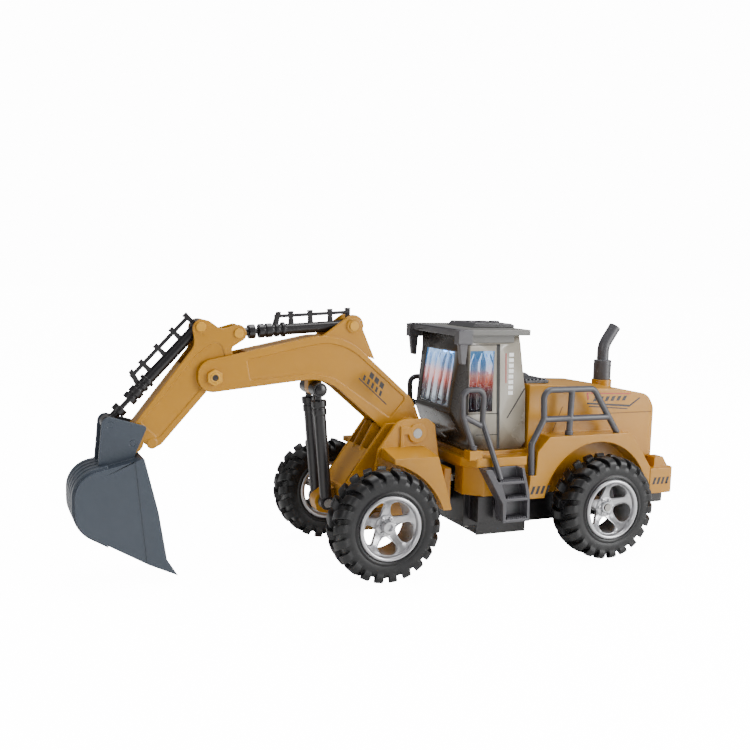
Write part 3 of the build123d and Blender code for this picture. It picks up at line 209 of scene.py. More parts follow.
def tin_coating():
    """Vacuum-coated silver of the rims: bright, slightly brushed in rings, softer in the dish."""
    material, tree, shader = start("vacuum_silver_coating", Metallic=0.85, Roughness=0.3)
    place = add_node(tree, "ShaderNodeTexCoord").outputs["Object"]
    cloud = add_node(tree, "ShaderNodeTexNoise", {"Scale": per_metre(4.0), "Detail": 5.0}, {"Vector": place})
    tone = add_node(tree, "ShaderNodeMix", {"data_type": "RGBA", 6: linear("#C9C9CB"), 7: linear("#ADADB0")},
                    {0: cloud.outputs["Fac"]})
    tree.links.new(tone.outputs[2], shader.inputs["Base Color"])
    gloss = add_node(tree, "ShaderNodeMapRange", {"To Min": 0.22, "To Max": 0.4},
                     {"Value": cloud.outputs["Fac"]})
    tree.links.new(gloss.outputs["Result"], shader.inputs["Roughness"])
    peel = add_node(tree, "ShaderNodeTexNoise", {"Scale": per_metre(0.6)}, {"Vector": place})
    bump = add_node(tree, "ShaderNodeBump", {"Strength": 0.2, "Distance": 0.04 * MM},
                    {"Height": peel.outputs["Fac"]})
    tree.links.new(bump.outputs["Normal"], shader.inputs["Normal"])
    return material


def bright_steel():
    """Turned steel pin: grey metal with fine lathe rings, broken by a little dullness."""
    material, tree, shader = start("turned_steel", Metallic=1.0)
    place = add_node(tree, "ShaderNodeTexCoord").outputs["Object"]
    scratch = add_node(tree, "ShaderNodeTexNoise", {"Scale": per_metre(0.5), "Detail": 6.0},
                       {"Vector": place})
    tone = add_node(tree, "ShaderNodeMix", {"data_type": "RGBA", 6: linear("#A8A6A2"), 7: linear("#7A7773")},
                    {0: scratch.outputs["Fac"]})
    tree.links.new(tone.outputs[2], shader.inputs["Base Color"])
    gloss = add_node(tree, "ShaderNodeMapRange", {"To Min": 0.2, "To Max": 0.5},
                     {"Value": scratch.outputs["Fac"]})
    tree.links.new(gloss.outputs["Result"], shader.inputs["Roughness"])
    return material


def clear_styrene():
    """Clear polystyrene glazing: bright flute edges, with a faint painted glow, blue above and red below.

    The glow is painted light that stands for the light of the cab lamps held in the clear plastic.
    """
    material, tree, shader = start("clear_polystyrene", Roughness=0.05, IOR=1.25, Emission_Strength=0.27)
    shader.inputs["Transmission Weight"].default_value = 1.0
    place = add_node(tree, "ShaderNodeTexCoord").outputs["Object"]
    flow = add_node(tree, "ShaderNodeTexNoise", {"Scale": per_metre(9.0), "Detail": 2.0}, {"Vector": place})
    tone = add_node(tree, "ShaderNodeMix", {"data_type": "RGBA", 6: linear("#F4F8FC"), 7: linear("#DDE8F2")},
                    {0: flow.outputs["Fac"]})
    tree.links.new(tone.outputs[2], shader.inputs["Base Color"])
    height = add_node(tree, "ShaderNodeSeparateXYZ", links={"Vector": place})
    low, high = [corner[2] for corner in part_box("cab_windows")]
    climb = add_node(tree, "ShaderNodeMapRange", {"From Min": low, "From Max": high},
                     {"Value": height.outputs["Z"]})
    # this emission ramp is painted light: the cab lamps' glow painted into the panes
    ramp = add_node(tree, "ShaderNodeValToRGB", links={"Fac": climb.outputs["Result"]})
    ramp.color_ramp.elements[0].position = 0.2
    ramp.color_ramp.elements[0].color = linear("#000000")
    ramp.color_ramp.elements[1].position = 1.0
    ramp.color_ramp.elements[1].color = linear("#6FB4F0")
    for position, glow in ((0.34, "#5E1C12"), (0.48, "#D2523A"), (0.6, "#D98A82"), (0.7, "#6E9AD0"),
                           (0.85, "#3F93E6")):
        ramp.color_ramp.elements.new(position).color = linear(glow)
    tree.links.new(ramp.outputs["Color"], shader.inputs["Emission Color"])
    return material


def lit_lens(name, colour, strength):
    """A lit LED lens: the emitting core varies a little across the dome."""
    material, tree, shader = start(name, Roughness=0.15, Emission_Strength=strength)
    place = add_node(tree, "ShaderNodeTexCoord").outputs["Object"]
    core = add_node(tree, "ShaderNodeTexNoise", {"Scale": per_metre(1.5)}, {"Vector": place})
    tone = add_node(tree, "ShaderNodeMix", {"data_type": "RGBA", 6: linear(colour), 7: linear("#FFFFFF")},
                    {0: core.outputs["Fac"]})
    tree.links.new(tone.outputs[2], shader.inputs["Base Color"])
    shader.inputs["Emission Color"].default_value = linear(colour)
    return material


def red_lens():
    """Red tinted lens over a lit lamp: glowing, a little darker at its rim."""
    material, tree, shader = start("red_acrylic_lens", Roughness=0.12, Emission_Strength=2.5)
    weight = add_node(tree, "ShaderNodeLayerWeight", {"Blend": 0.4})
    tone = add_node(tree, "ShaderNodeMix", {"data_type": "RGBA", 6: linear("#FF5A48"), 7: linear("#8E1410")},
                    {0: weight.outputs["Facing"]})
    tree.links.new(tone.outputs[2], shader.inputs["Base Color"])
    tree.links.new(tone.outputs[2], shader.inputs["Emission Color"])
    return material


def printed(name, colour, fleck, roughness=0.4):
    """Tampo-printed ink: flat colour with tiny thin spots where the pad lifted. It also makes painted shade: the
    seam strips and the disc in the arm nut bores.
    """
    material, tree, shader = start(name, Roughness=roughness)
    place = add_node(tree, "ShaderNodeTexCoord").outputs["Object"]
    spots = add_node(tree, "ShaderNodeTexNoise", {"Scale": per_metre(0.8), "Detail": 4.0}, {"Vector": place})
    mask = add_node(tree, "ShaderNodeMapRange", {"From Min": 0.55, "From Max": 0.8},
                    {"Value": spots.outputs["Fac"]})
    tone = add_node(tree, "ShaderNodeMix", {"data_type": "RGBA", 6: linear(colour), 7: linear(fleck)},
                    {0: mask.outputs["Result"]})
    tree.links.new(tone.outputs[2], shader.inputs["Base Color"])
    return material


MATERIALS = {
    "bumper": bumper_abs(), "yellow": yellow_abs(), "nylon": yellow_nylon(), "slate": slate_abs(),
    "black": black_abs(),
    "cab": cab_abs(), "roof": roof_abs(), "rail": rail_abs(), "trim": trim_abs(), "tyre": tyre_rubber(),
    "silver": tin_coating(), "steel": bright_steel(), "clear": clear_styrene(), "red_lens": red_lens(),
    "blue_led": lit_lens("blue_led_lens", "#4EA2FF", 9.0),
    "red_led": lit_lens("red_led_lens", "#FF4A30", 7.0),
    "black_ink": printed("black_pad_print", "#1C1A1A", "#5B4B2C"),
    "white_ink": printed("white_pad_print", "#EFEFEC", "#B9B7B0"),
    "red_ink": printed("red_pad_print", "#A8322B", "#8C6A40"),
    # the two seam colours are painted shade: thin dark strips where a seam's shade falls
    "seam": printed("shell_seam_shadow", "#5C3F0C", "#7A5410", 0.7),
    "cab_seam": printed("cab_seam_shadow", "#141210", "#2B2824", 0.6),
    "acetal": moulded("natural_acetal_moulded", "#E4E1D8", "#D6D2C6", "#F2F0EA", 0.4, 0.5, 0.2, IOR=1.48),
    "board": moulded("solder_mask_green", "#1F6A3C", "#185A32", "#3C8A58", 0.35, 0.6, 0.3),
    "sleeve": moulded("shrink_sleeve_green", "#2B7F55", "#236B47", "#58A57E", 0.28, 0.8, 0.2),
}


# --- pieces ------------------------------------------------------------------------------
def settle(piece, material, body, smooth=True):
    """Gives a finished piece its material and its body."""
    piece.data.materials.clear()
    piece.data.materials.append(MATERIALS[material])
    piece.data.polygons.foreach_set("use_smooth", np.full(len(piece.data.polygons), smooth))
    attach(piece, body)
    return piece


def rolled_copy(node, material, edge_mm=0.25, angle=32.0, merge_flats=True):
    """The node's own shape welded into one shell, with its sharp edges rolled to a mould radius."""
    mesh = NODES[node].data.copy()
    shell = bmesh.new()
    shell.from_mesh(mesh)
    bmesh.ops.remove_doubles(shell, verts=shell.verts, dist=WELD_MM * MM)
    if merge_flats:
        bmesh.ops.dissolve_limit(shell, angle_limit=math.radians(0.6), verts=shell.verts, edges=shell.edges)
    shell.to_mesh(mesh)
    shell.free()
    stale = mesh.attributes.get("custom_normal")
    if stale:
        mesh.attributes.remove(stale)
    piece = bpy.data.objects.new(node + "_moulding", mesh)
    bpy.context.scene.collection.objects.link(piece)
    if merge_flats:
        edges = piece.modifiers.new("mould_radius", "BEVEL")
        edges.width = edge_mm * MM
        edges.segments = 2
        edges.limit_method = "ANGLE"
        edges.angle_limit = math.radians(angle)
        edges.use_clamp_overlap = False
    shading = piece.modifiers.new("flat_faces", "WEIGHTED_NORMAL")
    shading.mode = "FACE_AREA"
    shading.weight = 80
    settle(piece, material, BODY_OF[node])
    if not merge_flats:
        mesh.set_sharp_from_angle(angle=math.radians(angle))
    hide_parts(node)
    return piece


def grid_faces(rows, columns, wrap_rows, wrap_columns):
    """Quads between the neighbouring points of a grid, which may close on itself either way."""
    i = np.arange(rows if wrap_rows else rows - 1)
    j = np.arange(columns if wrap_columns else columns - 1)
    i, j = [a.ravel() for a in np.meshgrid(i, j, indexing="ij")]
    following_i = (i + 1) % rows
    following_j = (j + 1) % columns
    return np.stack([i * columns + j, following_i * columns + j,
                     following_i * columns + following_j, i * columns + following_j], axis=1)


def build(name, sheets, material, body, replaces=(), smooth=True, auto=None):
    """One piece from closed surfaces given as (points in mm, quads); each is turned to face outwards."""
    points = []
    faces = []
    offset = 0
    for surface, quads in sheets:
        surface = surface.reshape(-1, 3)
        a, b, c, d = [surface[quads[:, k]] for k in range(4)]
        volume = (np.einsum("ij,ij->i", a, np.cross(b, c)).sum()
                  + np.einsum("ij,ij->i", a, np.cross(c, d)).sum())
        if volume < 0:
            quads = quads[:, ::-1]
        points.append(surface)
        faces.append(quads + offset)
        offset += len(surface)
    mesh = bpy.data.meshes.new(name)
    mesh.from_pydata((np.concatenate(points) * MM).tolist(), [], np.concatenate(faces).tolist())
    mesh.validate()
    piece = bpy.data.objects.new(name, mesh)
    bpy.context.scene.collection.objects.link(piece)
    settle(piece, material, body, smooth)
    if auto:
        mesh.set_sharp_from_angle(angle=math.radians(auto))
    if replaces:
        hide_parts(*replaces)
    return piece


POINT_RADIUS = 1e-4


def turned(profile, steps, centre, turn=None, closed=True):
    """A (radius, y) profile carried round the Y axis through the centre, then turned by a matrix if given.

    An open profile starts and ends on the axis: its end rings shrink to a point.
    """
    r, y = np.array(profile, float).T
    if not closed:
        r = np.maximum(r, POINT_RADIUS)
    angle = np.linspace(0, 2 * math.pi, steps, endpoint=False)[:, None]
    grid = np.stack([r * np.cos(angle), y + 0 * angle, r * np.sin(angle)], axis=-1)
    grid = grid @ (turn.T if turn is not None else np.eye(3)) + np.array(centre)
    return grid, grid_faces(steps, len(r), True, closed)


def round_solid(profile, steps, centre, turn=None):
    """As turned(), for an open profile."""
    return turned(profile, steps, centre, turn, closed=False)


def prism(corners, low, high):
    """A thin solid between two places along Y, over a four-cornered outline in X and Z."""
    corners = np.array(corners, float)
    layers = [np.insert(corners, 1, level, axis=1) for level in (low, high)]
    quads = np.array([[0, 1, 2, 3], [7, 6, 5, 4], [0, 4, 5, 1], [1, 5, 6, 2], [2, 6, 7, 3], [3, 7, 4, 0]])
    return np.concatenate(layers), quads


def smoothstep(x, low, high):
    t = np.clip((x - low) / (high - low), 0, 1)
    return t * t * (3 - 2 * t)


# --- wheels -------------------------------------------------------------------------------
TYRE_RADIUS = 30.0
TYRE_HALF = 10.5
LUGS = 22
LUG_DEPTH = 2.9
LUG_STATIONS = np.array([-0.03, 0.0, 0.03, 0.13, 0.29, 0.45, 0.54, 0.57, 0.60, 0.70, 0.80, 0.90])


def tyre(name, centre, body, node):
    """A lugged tyre: a barrel-shaped section carried round the axle, raised by slanted blocks.

    The section runs bead, side wall, shoulder, crown, shoulder, side wall, bead and back inside. The block
    height is a square wave round the tyre, shifted half a pitch between the two halves, and sheared by
    the distance from the middle, so the blocks form broken arrows that wrap over the shoulders.
    """
    section = np.array([
        [17.6, -9.4], [18.6, -10.0], [19.4, -9.9], [19.8, -9.5], [20.6, -9.75], [22.2, -9.95], [23.6, -9.9],
        [24.4, -9.7], [24.9, -9.45], [25.4, -9.1], [26.0, -8.4], [26.5, -7.5], [26.9, -6.2], [27.1, -4.6],
        [27.1, -3.2], [27.1, -2.2], [27.1, -1.4], [27.1, -0.7], [27.1, 0.0],
    ])
    height = np.array([0, 0, 0, 0, 0, 0, 0, 0.25, 0.8, 0.95, 1, 1, 1, 1, 1, 1, 1, 0.9, 0.0])
    section = np.concatenate([section, section[-2::-1] * [1, -1]])
    height = np.concatenate([height, height[-2::-1]])
    inside = np.array([[18.4, 6.5], [20.0, 0.0], [18.4, -6.5]])
    count = len(section)
    tangent = np.gradient(section, axis=0)
    normal = np.stack([tangent[:, 1], -tangent[:, 0]], axis=1)
    normal /= np.linalg.norm(normal, axis=1)[:, None]
    across = section[:, 1] / TYRE_HALF
    lug = np.repeat(np.arange(LUGS), len(LUG_STATIONS))
    station = np.tile(LUG_STATIONS, LUGS)
    block = np.where((station > -0.01) & (station < 0.58), 1.0, 0.0)
    block[np.isclose(station, 0.0) | np.isclose(station, 0.57)] = 0.97
    long_lug = (lug % 2 == 0)[:, None]
    reach = np.where(long_lug, 1.0, smoothstep(np.abs(across), 0.22, 0.36)[None, :])
    slope = -np.abs(section[:, 1]) - 0.2 * section[:, 0]
    wall = np.where(long_lug, 1.0, smoothstep(slope, -14.9, -14.3)[None, :])
    raised = LUG_DEPTH * block[:, None] * height[None, :] * reach * wall
    shear = 0.55 * np.abs(across) + 0.5 * smoothstep(across, -0.06, 0.06)
    pitch = 2 * math.pi / LUGS
    angle = pitch * (lug + station)[:, None] + pitch * shear[None, :]
    points = section[None, :, :] + raised[:, :, None] * normal[None, :, :] * [1.0, 0.55]
    points[..., 0] = np.minimum(points[..., 0], TYRE_RADIUS - 0.02)
    points[..., 1] = np.clip(points[..., 1], -TYRE_HALF, TYRE_HALF)
    inner = np.broadcast_to(inside, (len(lug), len(inside), 2))
    points = np.concatenate([points, inner], axis=1)
    angle = np.concatenate([angle, np.repeat(angle[:, -1:], len(inside), axis=1)], axis=1)
    grid = np.stack([points[..., 0] * np.cos(angle), points[..., 1], points[..., 0] * np.sin(angle)], axis=-1)
    faces = grid_faces(len(lug), count + len(inside), True, True)
    return build(name, [(grid + centre, faces)], "tyre", body, (node,), auto=38)


RIM_WINDOWS = 5
RIM_SAMPLES = 48
DISH = [(5.0, 2.6), (6.4, 2.5), (9.0, 3.2), (12.0, 5.0), (14.2, 7.4), (15.6, 8.6)]


def rim(name, centre, side, body, node):
    """A deep-dish wheel centre: lipped barrel, five spokes round kidney windows, hub with bolt bosses.

    Each fifth of the dish is a ring of points that morphs from a rounded window outline out to the edges of
    its sector; its height follows the dish profile, rolled down at the window and given a back face.
    """
    mirror = np.array([1.0, side, 1.0])
    barrel = [
        (17.5, -9.0), (17.5, 9.2), (17.1, 10.1), (16.7, 10.5), (16.1, 10.6), (15.5, 10.3), (15.1, 9.5),
        (14.9, 8.2), (14.8, 5.0), (14.8, -8.4), (15.4, -9.0), (16.2, -9.4), (17.0, -9.4),
    ]
    sheets = [turned(barrel, 96, (0, 0, 0))]
    a = np.linspace(0, 2 * math.pi, RIM_SAMPLES, endpoint=False)
    cos, sin = np.cos(a), np.sin(a)
    box = 1 / np.maximum(np.abs(cos), np.abs(sin))
    half_sector = math.pi / RIM_WINDOWS
    inner_r, outer_r = 4.6, 15.3
    edge_r = (inner_r + outer_r) / 2 + (outer_r - inner_r) / 2 * sin * box
    edge = np.stack([half_sector * cos * box, edge_r], axis=1)
    window_r = 10.3 + 4.2 * np.sign(sin) * np.abs(sin) ** 0.72
    width = np.interp(window_r, [6.1, 8.5, 12.0, 14.5], [0.24, 0.38, 0.48, 0.44])
    window = np.stack([width * np.sign(cos) * np.abs(cos) ** 0.72, window_r], axis=1)
    profile_r, profile_y = np.array(DISH).T
    layers = []
    for blend, drop in ((0.0, 1.2), (0.0, 0.3), (0.08, -0.25), (0.2, -0.22), (0.36, 0.12), (1.0, 0.0)):
        flat = window * (1 - blend) + edge * blend
        layers.append((flat, np.interp(flat[:, 1], profile_r, profile_y) - drop))
    for blend, drop in ((1.0, 1.3), (0.5, 1.5), (0.0, 1.5)):
        flat = window * (1 - blend) + edge * blend
        layers.append((flat, np.interp(flat[:, 1], profile_r, profile_y) - drop))
    for k in range(RIM_WINDOWS):
        middle = 2 * math.pi * k / RIM_WINDOWS + math.radians(54)
        grid = np.stack([
            np.stack([flat[:, 1] * np.cos(flat[:, 0] + middle), y,
                      flat[:, 1] * np.sin(flat[:, 0] + middle)], axis=1)
            for flat, y in layers
        ])
        sheets.append((grid, grid_faces(len(layers), RIM_SAMPLES, True, True)))
    hub = [
        (2.1, -9.0), (4.4, -9.0), (4.4, 1.4), (5.6, 1.8), (5.8, 2.7), (5.5, 3.1), (4.9, 3.2), (3.6, 3.2),
        (3.4, 3.5), (3.3, 4.6), (3.0, 4.9), (2.4, 4.9), (2.1, 4.6),
    ]
    sheets.append(turned(hub, 60, (0, 0, 0)))
    boss = [(0.0, 1.5), (1.05, 1.5), (1.05, 3.6), (0.9, 4.0), (0.55, 4.15), (0.45, 3.8), (0.0, 3.8)]
    for k in range(6):
        angle = 2 * math.pi * k / 6
        sheets.append(round_solid(boss, 16, (4.4 * math.cos(angle), 0, 4.4 * math.sin(angle))))
    placed = [(grid * mirror + centre, faces) for grid, faces in sheets]
    return build(name, placed, "silver", body, (node,), auto=42)


def axle_caps():
    """Push-on caps of the front axle: a rolled collar round a deep bore, turned about the axle."""
    outer_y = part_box("front_axle_caps")[1][1] / MM
    collar = [(0.0, -3.0), (3.2, -3.0), (3.4, -2.6), (3.4, -0.5), (3.1, -0.1), (2.6, 0.0), (1.9, -0.05),
              (1.6, -0.4), (1.5, -1.6), (0.0, -1.7)]
    sheets = []
    centre = np.array([FRONT_AXLE[0], outer_y, FRONT_AXLE[2]])
    for _, side in SIDES:
        grid, faces = round_solid(collar, 48, (0, 0, 0))
        sheets.append((grid * [1, side, 1] + centre * [1, side, 1], faces))
    build("front_axle_caps_coated", sheets, "silver", BODY_OF["front_axle_caps"],
          ("front_axle_caps",), auto=40)


def wheels():
    for label, side in SIDES:
        y = JOINTS["front_wheel_" + label + "_spin"]["pos_m"][1] / MM
        for end, axle, body in (("front", FRONT_AXLE, "front_wheel_" + label),
                                ("rear", REAR_AXLE, "rear_axle")):
            centre = np.array([axle[0], y, axle[2]])
            tyre(end + "_tyre_" + label + "_rubber", centre, body, end + "_tyre_" + label)
            rim(end + "_rim_" + label + "_coated", centre, side, body, end + "_rim_" + label)


wheels()
axle_caps()


# --- shells carried over with rolled mould edges -----------------------------------------------
FINISHES = {
    "bumper": ("rear_bumper",),
    "yellow": ("body_shell", "front_frame", "front_side_left", "front_side_right",
               "boom_half_left", "boom_half_right", "stick_half_left", "stick_half_right"),
    "nylon": ("boom_pins", "stick_pins"),
    "slate": ("bucket", "bucket_pins"),
    "black": ("chassis_pan", "battery_cover", "lift_barrels", "lift_rods", "stick_ram_barrel",
              "stick_ram_rod", "bucket_ram_barrel", "bucket_ram_rod", "switch_knob"),
    "cab": ("cab_frame",),
    "roof": ("cab_roof",),
    "rail": ("ladders", "grab_rail_left", "grab_rail_right", "deck_rails", "exhaust_stack"),
    "trim": ("roof_unit", "cab_seats", "cab_dashboard", "hood_vent"),
}
PLAIN = {
    "steel": ("frame_pins", "articulation_pin", "front_axle_shaft", "rear_axle_shaft", "chassis_screws",
              "drive_motor"),
    "acetal": ("axle_gear", "motor_pinion", "steering_gear", "steering_pinion", "gearbox_case"),
    "board": ("circuit_board", "cab_lamps"),
    "sleeve": ("battery_cells",),
    "black": ("steering_motor", "switch_case"),
    "red_lens": ("tail_lamp_lenses",),
}
SMALL_RADIUS = {"deck_rails": 0.12, "grab_rail_left": 0.12, "grab_rail_right": 0.12, "hood_vent": 0.12,
                "switch_knob": 0.15, "cab_dashboard": 0.12, "bucket_pins": 0.12}
for finish, members in FINISHES.items():
    for member in members:
        if member == "cab_frame":
            rolled_copy(member, finish, angle=16.0, merge_flats=False)
        else:
            rolled_copy(member, finish, SMALL_RADIUS.get(member, 0.3))
for finish, members in PLAIN.items():
    for member in members:
        NODES[member].data.materials.clear()
        NODES[member].data.materials.append(MATERIALS[finish])


# --- glazing ------------------------------------------------------------------------------
def panes():
    """The four panes of the glazing node, each as its own set of corner positions in mm."""
    shell = bmesh.new()
    shell.from_mesh(NODES["cab_windows"].data)
    bmesh.ops.remove_doubles(shell, verts=shell.verts, dist=WELD_MM * MM)
    seen = set()
    found = []
    for vertex in shell.verts:
        if vertex.index in seen:
            continue
        island = []
        queue = [vertex]
        seen.add(vertex.index)
        while queue:
            current = queue.pop()
            island.append(tuple(current.co / MM))
            for edge in current.link_edges:
                other = edge.other_vert(current)
                if other.index not in seen:
                    seen.add(other.index)
                    queue.append(other)
        found.append(np.array(island))
    shell.free()
    return found


PANE_THICK = 1.1
PANE_ROWS = 61
FLUTE_SAMPLES = 16
VALLEY_SHARE = 0.35
FLUTE_SHARE = 0.62
REAR_PANE_ZONE = 20.0


def fluted_pane(points, flutes):
    """A pane whose inner face carries upright flutes that end in pointed arches under its top edge.

    The outer face is the flat through the node's outer corners. The inner face steps back by a half-wave
    across each flute, which fades out above a roof-shaped line over that flute.
    """
    low, high = points.min(0), points.max(0)
    span = high - low
    sideways = 1 if span[1] > span[0] else 0
    facing = 1 - sideways
    if facing == 1:
        outward = 1 if abs(high[1]) > abs(low[1]) else -1
    else:
        outward = 1 if high[0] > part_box("cab_frame")[0][0] / MM + REAR_PANE_ZONE else -1
    bottom = points[points[:, 2] < low[2] + 0.3][:, facing]
    top = points[points[:, 2] > high[2] - 0.3][:, facing]
    extreme = np.max if outward > 0 else np.min
    at_bottom, at_top = extreme(bottom), extreme(top)
    u = np.linspace(0, 1, flutes * FLUTE_SAMPLES + 1)[:, None]
    v = np.linspace(0, 1, PANE_ROWS)[None, :]
    wave = np.abs(np.sin(math.pi * flutes * u)) ** 0.8
    within = np.abs(2 * ((flutes * u) % 1) - 1)
    arch = smoothstep(0.95 - 0.16 * within - v, -0.02, 0.03) * smoothstep(v, 0.02, 0.05)
    depth_in = PANE_THICK * (VALLEY_SHARE + FLUTE_SHARE * wave * arch)
    face = at_bottom + (at_top - at_bottom) * v + 0 * u
    sheets = []
    for level in (face, face - outward * depth_in):
        grid = np.zeros(u.shape[:1] + v.shape[1:] + (3,))
        grid[..., sideways] = low[sideways] + span[sideways] * u
        grid[..., facing] = level
        grid[..., 2] = low[2] + span[2] * v
        sheets.append(grid)
    rows, columns = sheets[0].shape[:2]
    size = rows * columns
    front = grid_faces(rows, columns, False, False)
    ring = np.concatenate([
        np.arange(columns), np.arange(1, rows) * columns + columns - 1,
        (rows - 1) * columns + np.arange(columns - 2, -1, -1), np.arange(rows - 2, 0, -1) * columns,
    ])
    after = np.roll(ring, -1)
    wall = np.stack([ring, after, after + size, ring + size], axis=1)
    return (np.concatenate([sheets[0].reshape(-1, 3), sheets[1].reshape(-1, 3)]),
            np.concatenate([front[:, ::-1], front + size, wall]))


def glazing():
    sheets = []
    for points in panes():
        wide = np.ptp(points[:, 1]) > 10
        sheets.append(fluted_pane(points, 5 if wide else 3))
    build("cab_glazing_fluted", sheets, "clear", "rear_body", ("cab_windows",),
          auto=40)


glazing()


# --- lit lamps in the cab ------------------------------------------------------------------
def lamp_domes():
    """Small round-nosed diodes: two rows under the lamp board and a pair on the desk."""
    low, high = [np.array(corner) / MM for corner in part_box("cab_lamps")]
    middle = (low + high) / 2
    dome = [(0.0, 0.0), (1.4, 0.0), (1.4, 1.4), (1.15, 2.1), (0.7, 2.6), (0.0, 2.8)]
    down = np.array([[1.0, 0, 0], [0, 0, 1.0], [0, -1.0, 0]])
    blue = [round_solid(dome, 20, (middle[0] + x, y, low[2] + 0.4), down)
            for x in (-1.0, 5.0) for y in (-8.0, 0.0, 8.0)]
    build("cab_blue_lamps", blue, "blue_led", "rear_body", auto=40)
    desk_low, desk_high = [np.array(corner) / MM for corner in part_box("cab_dashboard")]
    up = np.array([[1.0, 0, 0], [0, 0, -1.0], [0, 1.0, 0]])
    red = [round_solid(dome, 20, (desk_low[0] + 5.4, y, desk_high[2] - 5.6), up) for y in (-8.0, -2.5)]
    build("cab_red_lamps", red, "red_led", "rear_body", auto=40)


lamp_domes()


# --- small hardware ------------------------------------------------------------------------
def pin_ends():
    """Black domed heads on the upper lift pin, and a rolled collar round a flat black disc of painted shade in the
    bore of each arm nut.
    """
    head = [(0.0, 12.1), (2.75, 12.1), (2.75, 12.7), (2.3, 13.0), (0.0, 13.1)]
    collar = [(1.6, 9.9), (2.6, 9.9), (2.6, 10.3), (2.35, 10.5), (1.85, 10.5), (1.6, 10.25)]
    bore = [(0.0, 9.9), (1.7, 9.9), (1.7, 10.16), (0.0, 10.16)]
    lift = np.array(JOINTS["lift_rod_swing"]["pos_m"]) / MM
    stick = np.array(JOINTS["stick_crowd"]["pos_m"]) / MM
    for label, side in SIDES:
        mirror = [1, side, 1]
        grid, faces = round_solid(head, 32, (0, 0, 0))
        build("lift_pin_head_" + label, [(grid * mirror + lift * [1, 0, 1], faces)], "black", "boom",
              auto=40)
        grid, faces = turned(collar, 32, (0, 0, 0))
        build("arm_nut_collar_" + label, [(grid * mirror + stick * [1, 0, 1], faces)], "nylon", "boom",
              auto=40)
        # a thin black disc painted in as the shade inside the bore
        grid, faces = round_solid(bore, 32, (0, 0, 0))
        build("arm_nut_bore_" + label, [(grid * mirror + stick * [1, 0, 1], faces)], "black_ink", "boom",
              auto=40)


TOOTH_PITCH = 1.25
TREADS = ((-70.4, -84.6, 47.7), (-75.4, -87.0, 37.9), (-75.8, -87.6, 26.1))


def tread_teeth():
    """Rows of small grip teeth along the outer edge of each ladder tread, one prism a tooth."""
    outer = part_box("ladders")[1][1] / MM
    for label, side in SIDES:
        sheets = []
        for first, last, level in TREADS:
            for x in np.arange(first, last, -TOOTH_PITCH):
                corners = [(ORIGIN_X + x, level), (ORIGIN_X + x - 0.75, level),
                           (ORIGIN_X + x - 0.55, level + 1.3), (ORIGIN_X + x - 0.2, level + 1.3)]
                sheets.append(prism(corners, side * (outer - 5.5), side * (outer - 0.25)))
        build("tread_teeth_" + label, sheets, "rail", "rear_body", smooth=False)


pin_ends()
tread_teeth()


# --- printed marks -------------------------------------------------------------------------
PRINT_THICK = 0.12


def along_side(name, outlines, face, side, material, body):
    """Printed patches on a side face: outlines are (x from the front axle, z) corners in mm."""
    sheets = []
    for outline in outlines:
        corners = [(ORIGIN_X + x, z) for x, z in outline]
        sheets.append(prism(corners, side * (face - 0.03), side * (face + PRINT_THICK)))
    build(name, sheets, material, body, smooth=False)


def slanted_bars(first, step, count, width, low, high, lean):
    """Parallel slanted strokes: four-cornered outlines spaced along X."""
    return [
        [(first + step * k, low), (first + step * k - width, low), (first + step * k - width + lean, high),
         (first + step * k + lean, high)] for k in range(count)
    ]


HOOD_FACE = 28.0
FENDER_FACE = 40.0
CAB_FACE = 27.0


def body_marks(label, side):
    """Slanted strokes on fender, bumper and hood, with a stepped line and a red line on the hood."""
    fender = slanted_bars(-92.9, -3.3, 4, 1.7, 38.3, 42.8, -1.6)
    along_side("fender_bars_" + label, fender, FENDER_FACE, side, "black_ink", "rear_body")
    bumper = slanted_bars(-178.6, -3.1, 4, 1.6, 38.6, 42.8, -1.4)
    bumper.append([(-188.6, 38.6), (-190.0, 38.6), (-190.0, 39.5), (-188.6, 39.5)])
    along_side("bumper_bars_" + label, bumper, FENDER_FACE, side, "black_ink", "rear_body")
    hood = slanted_bars(-141.0, -4.2, 6, 2.2, 88.4, 91.2, -1.5)
    hood.append([(-137.0, 86.9), (-137.0, 87.9), (-167.8, 85.6), (-167.8, 84.4)])
    hood.append([(-167.8, 84.4), (-167.8, 85.6), (-174.6, 89.9), (-175.6, 89.6)])
    hood.append([(-138.4, 85.3), (-138.4, 85.9), (-166.4, 83.6), (-166.4, 83.0)])
    along_side("hood_bars_" + label, hood, HOOD_FACE, side, "black_ink", "rear_body")
    red = [[(-136.6, 93.2), (-136.6, 93.8), (-168.0, 92.6), (-168.0, 92.0)],
           [(-137.2, 89.6), (-138.4, 89.6), (-137.2, 93.4), (-136.2, 93.4)]]
    along_side("hood_red_line_" + label, red, HOOD_FACE, side, "red_ink", "rear_body")


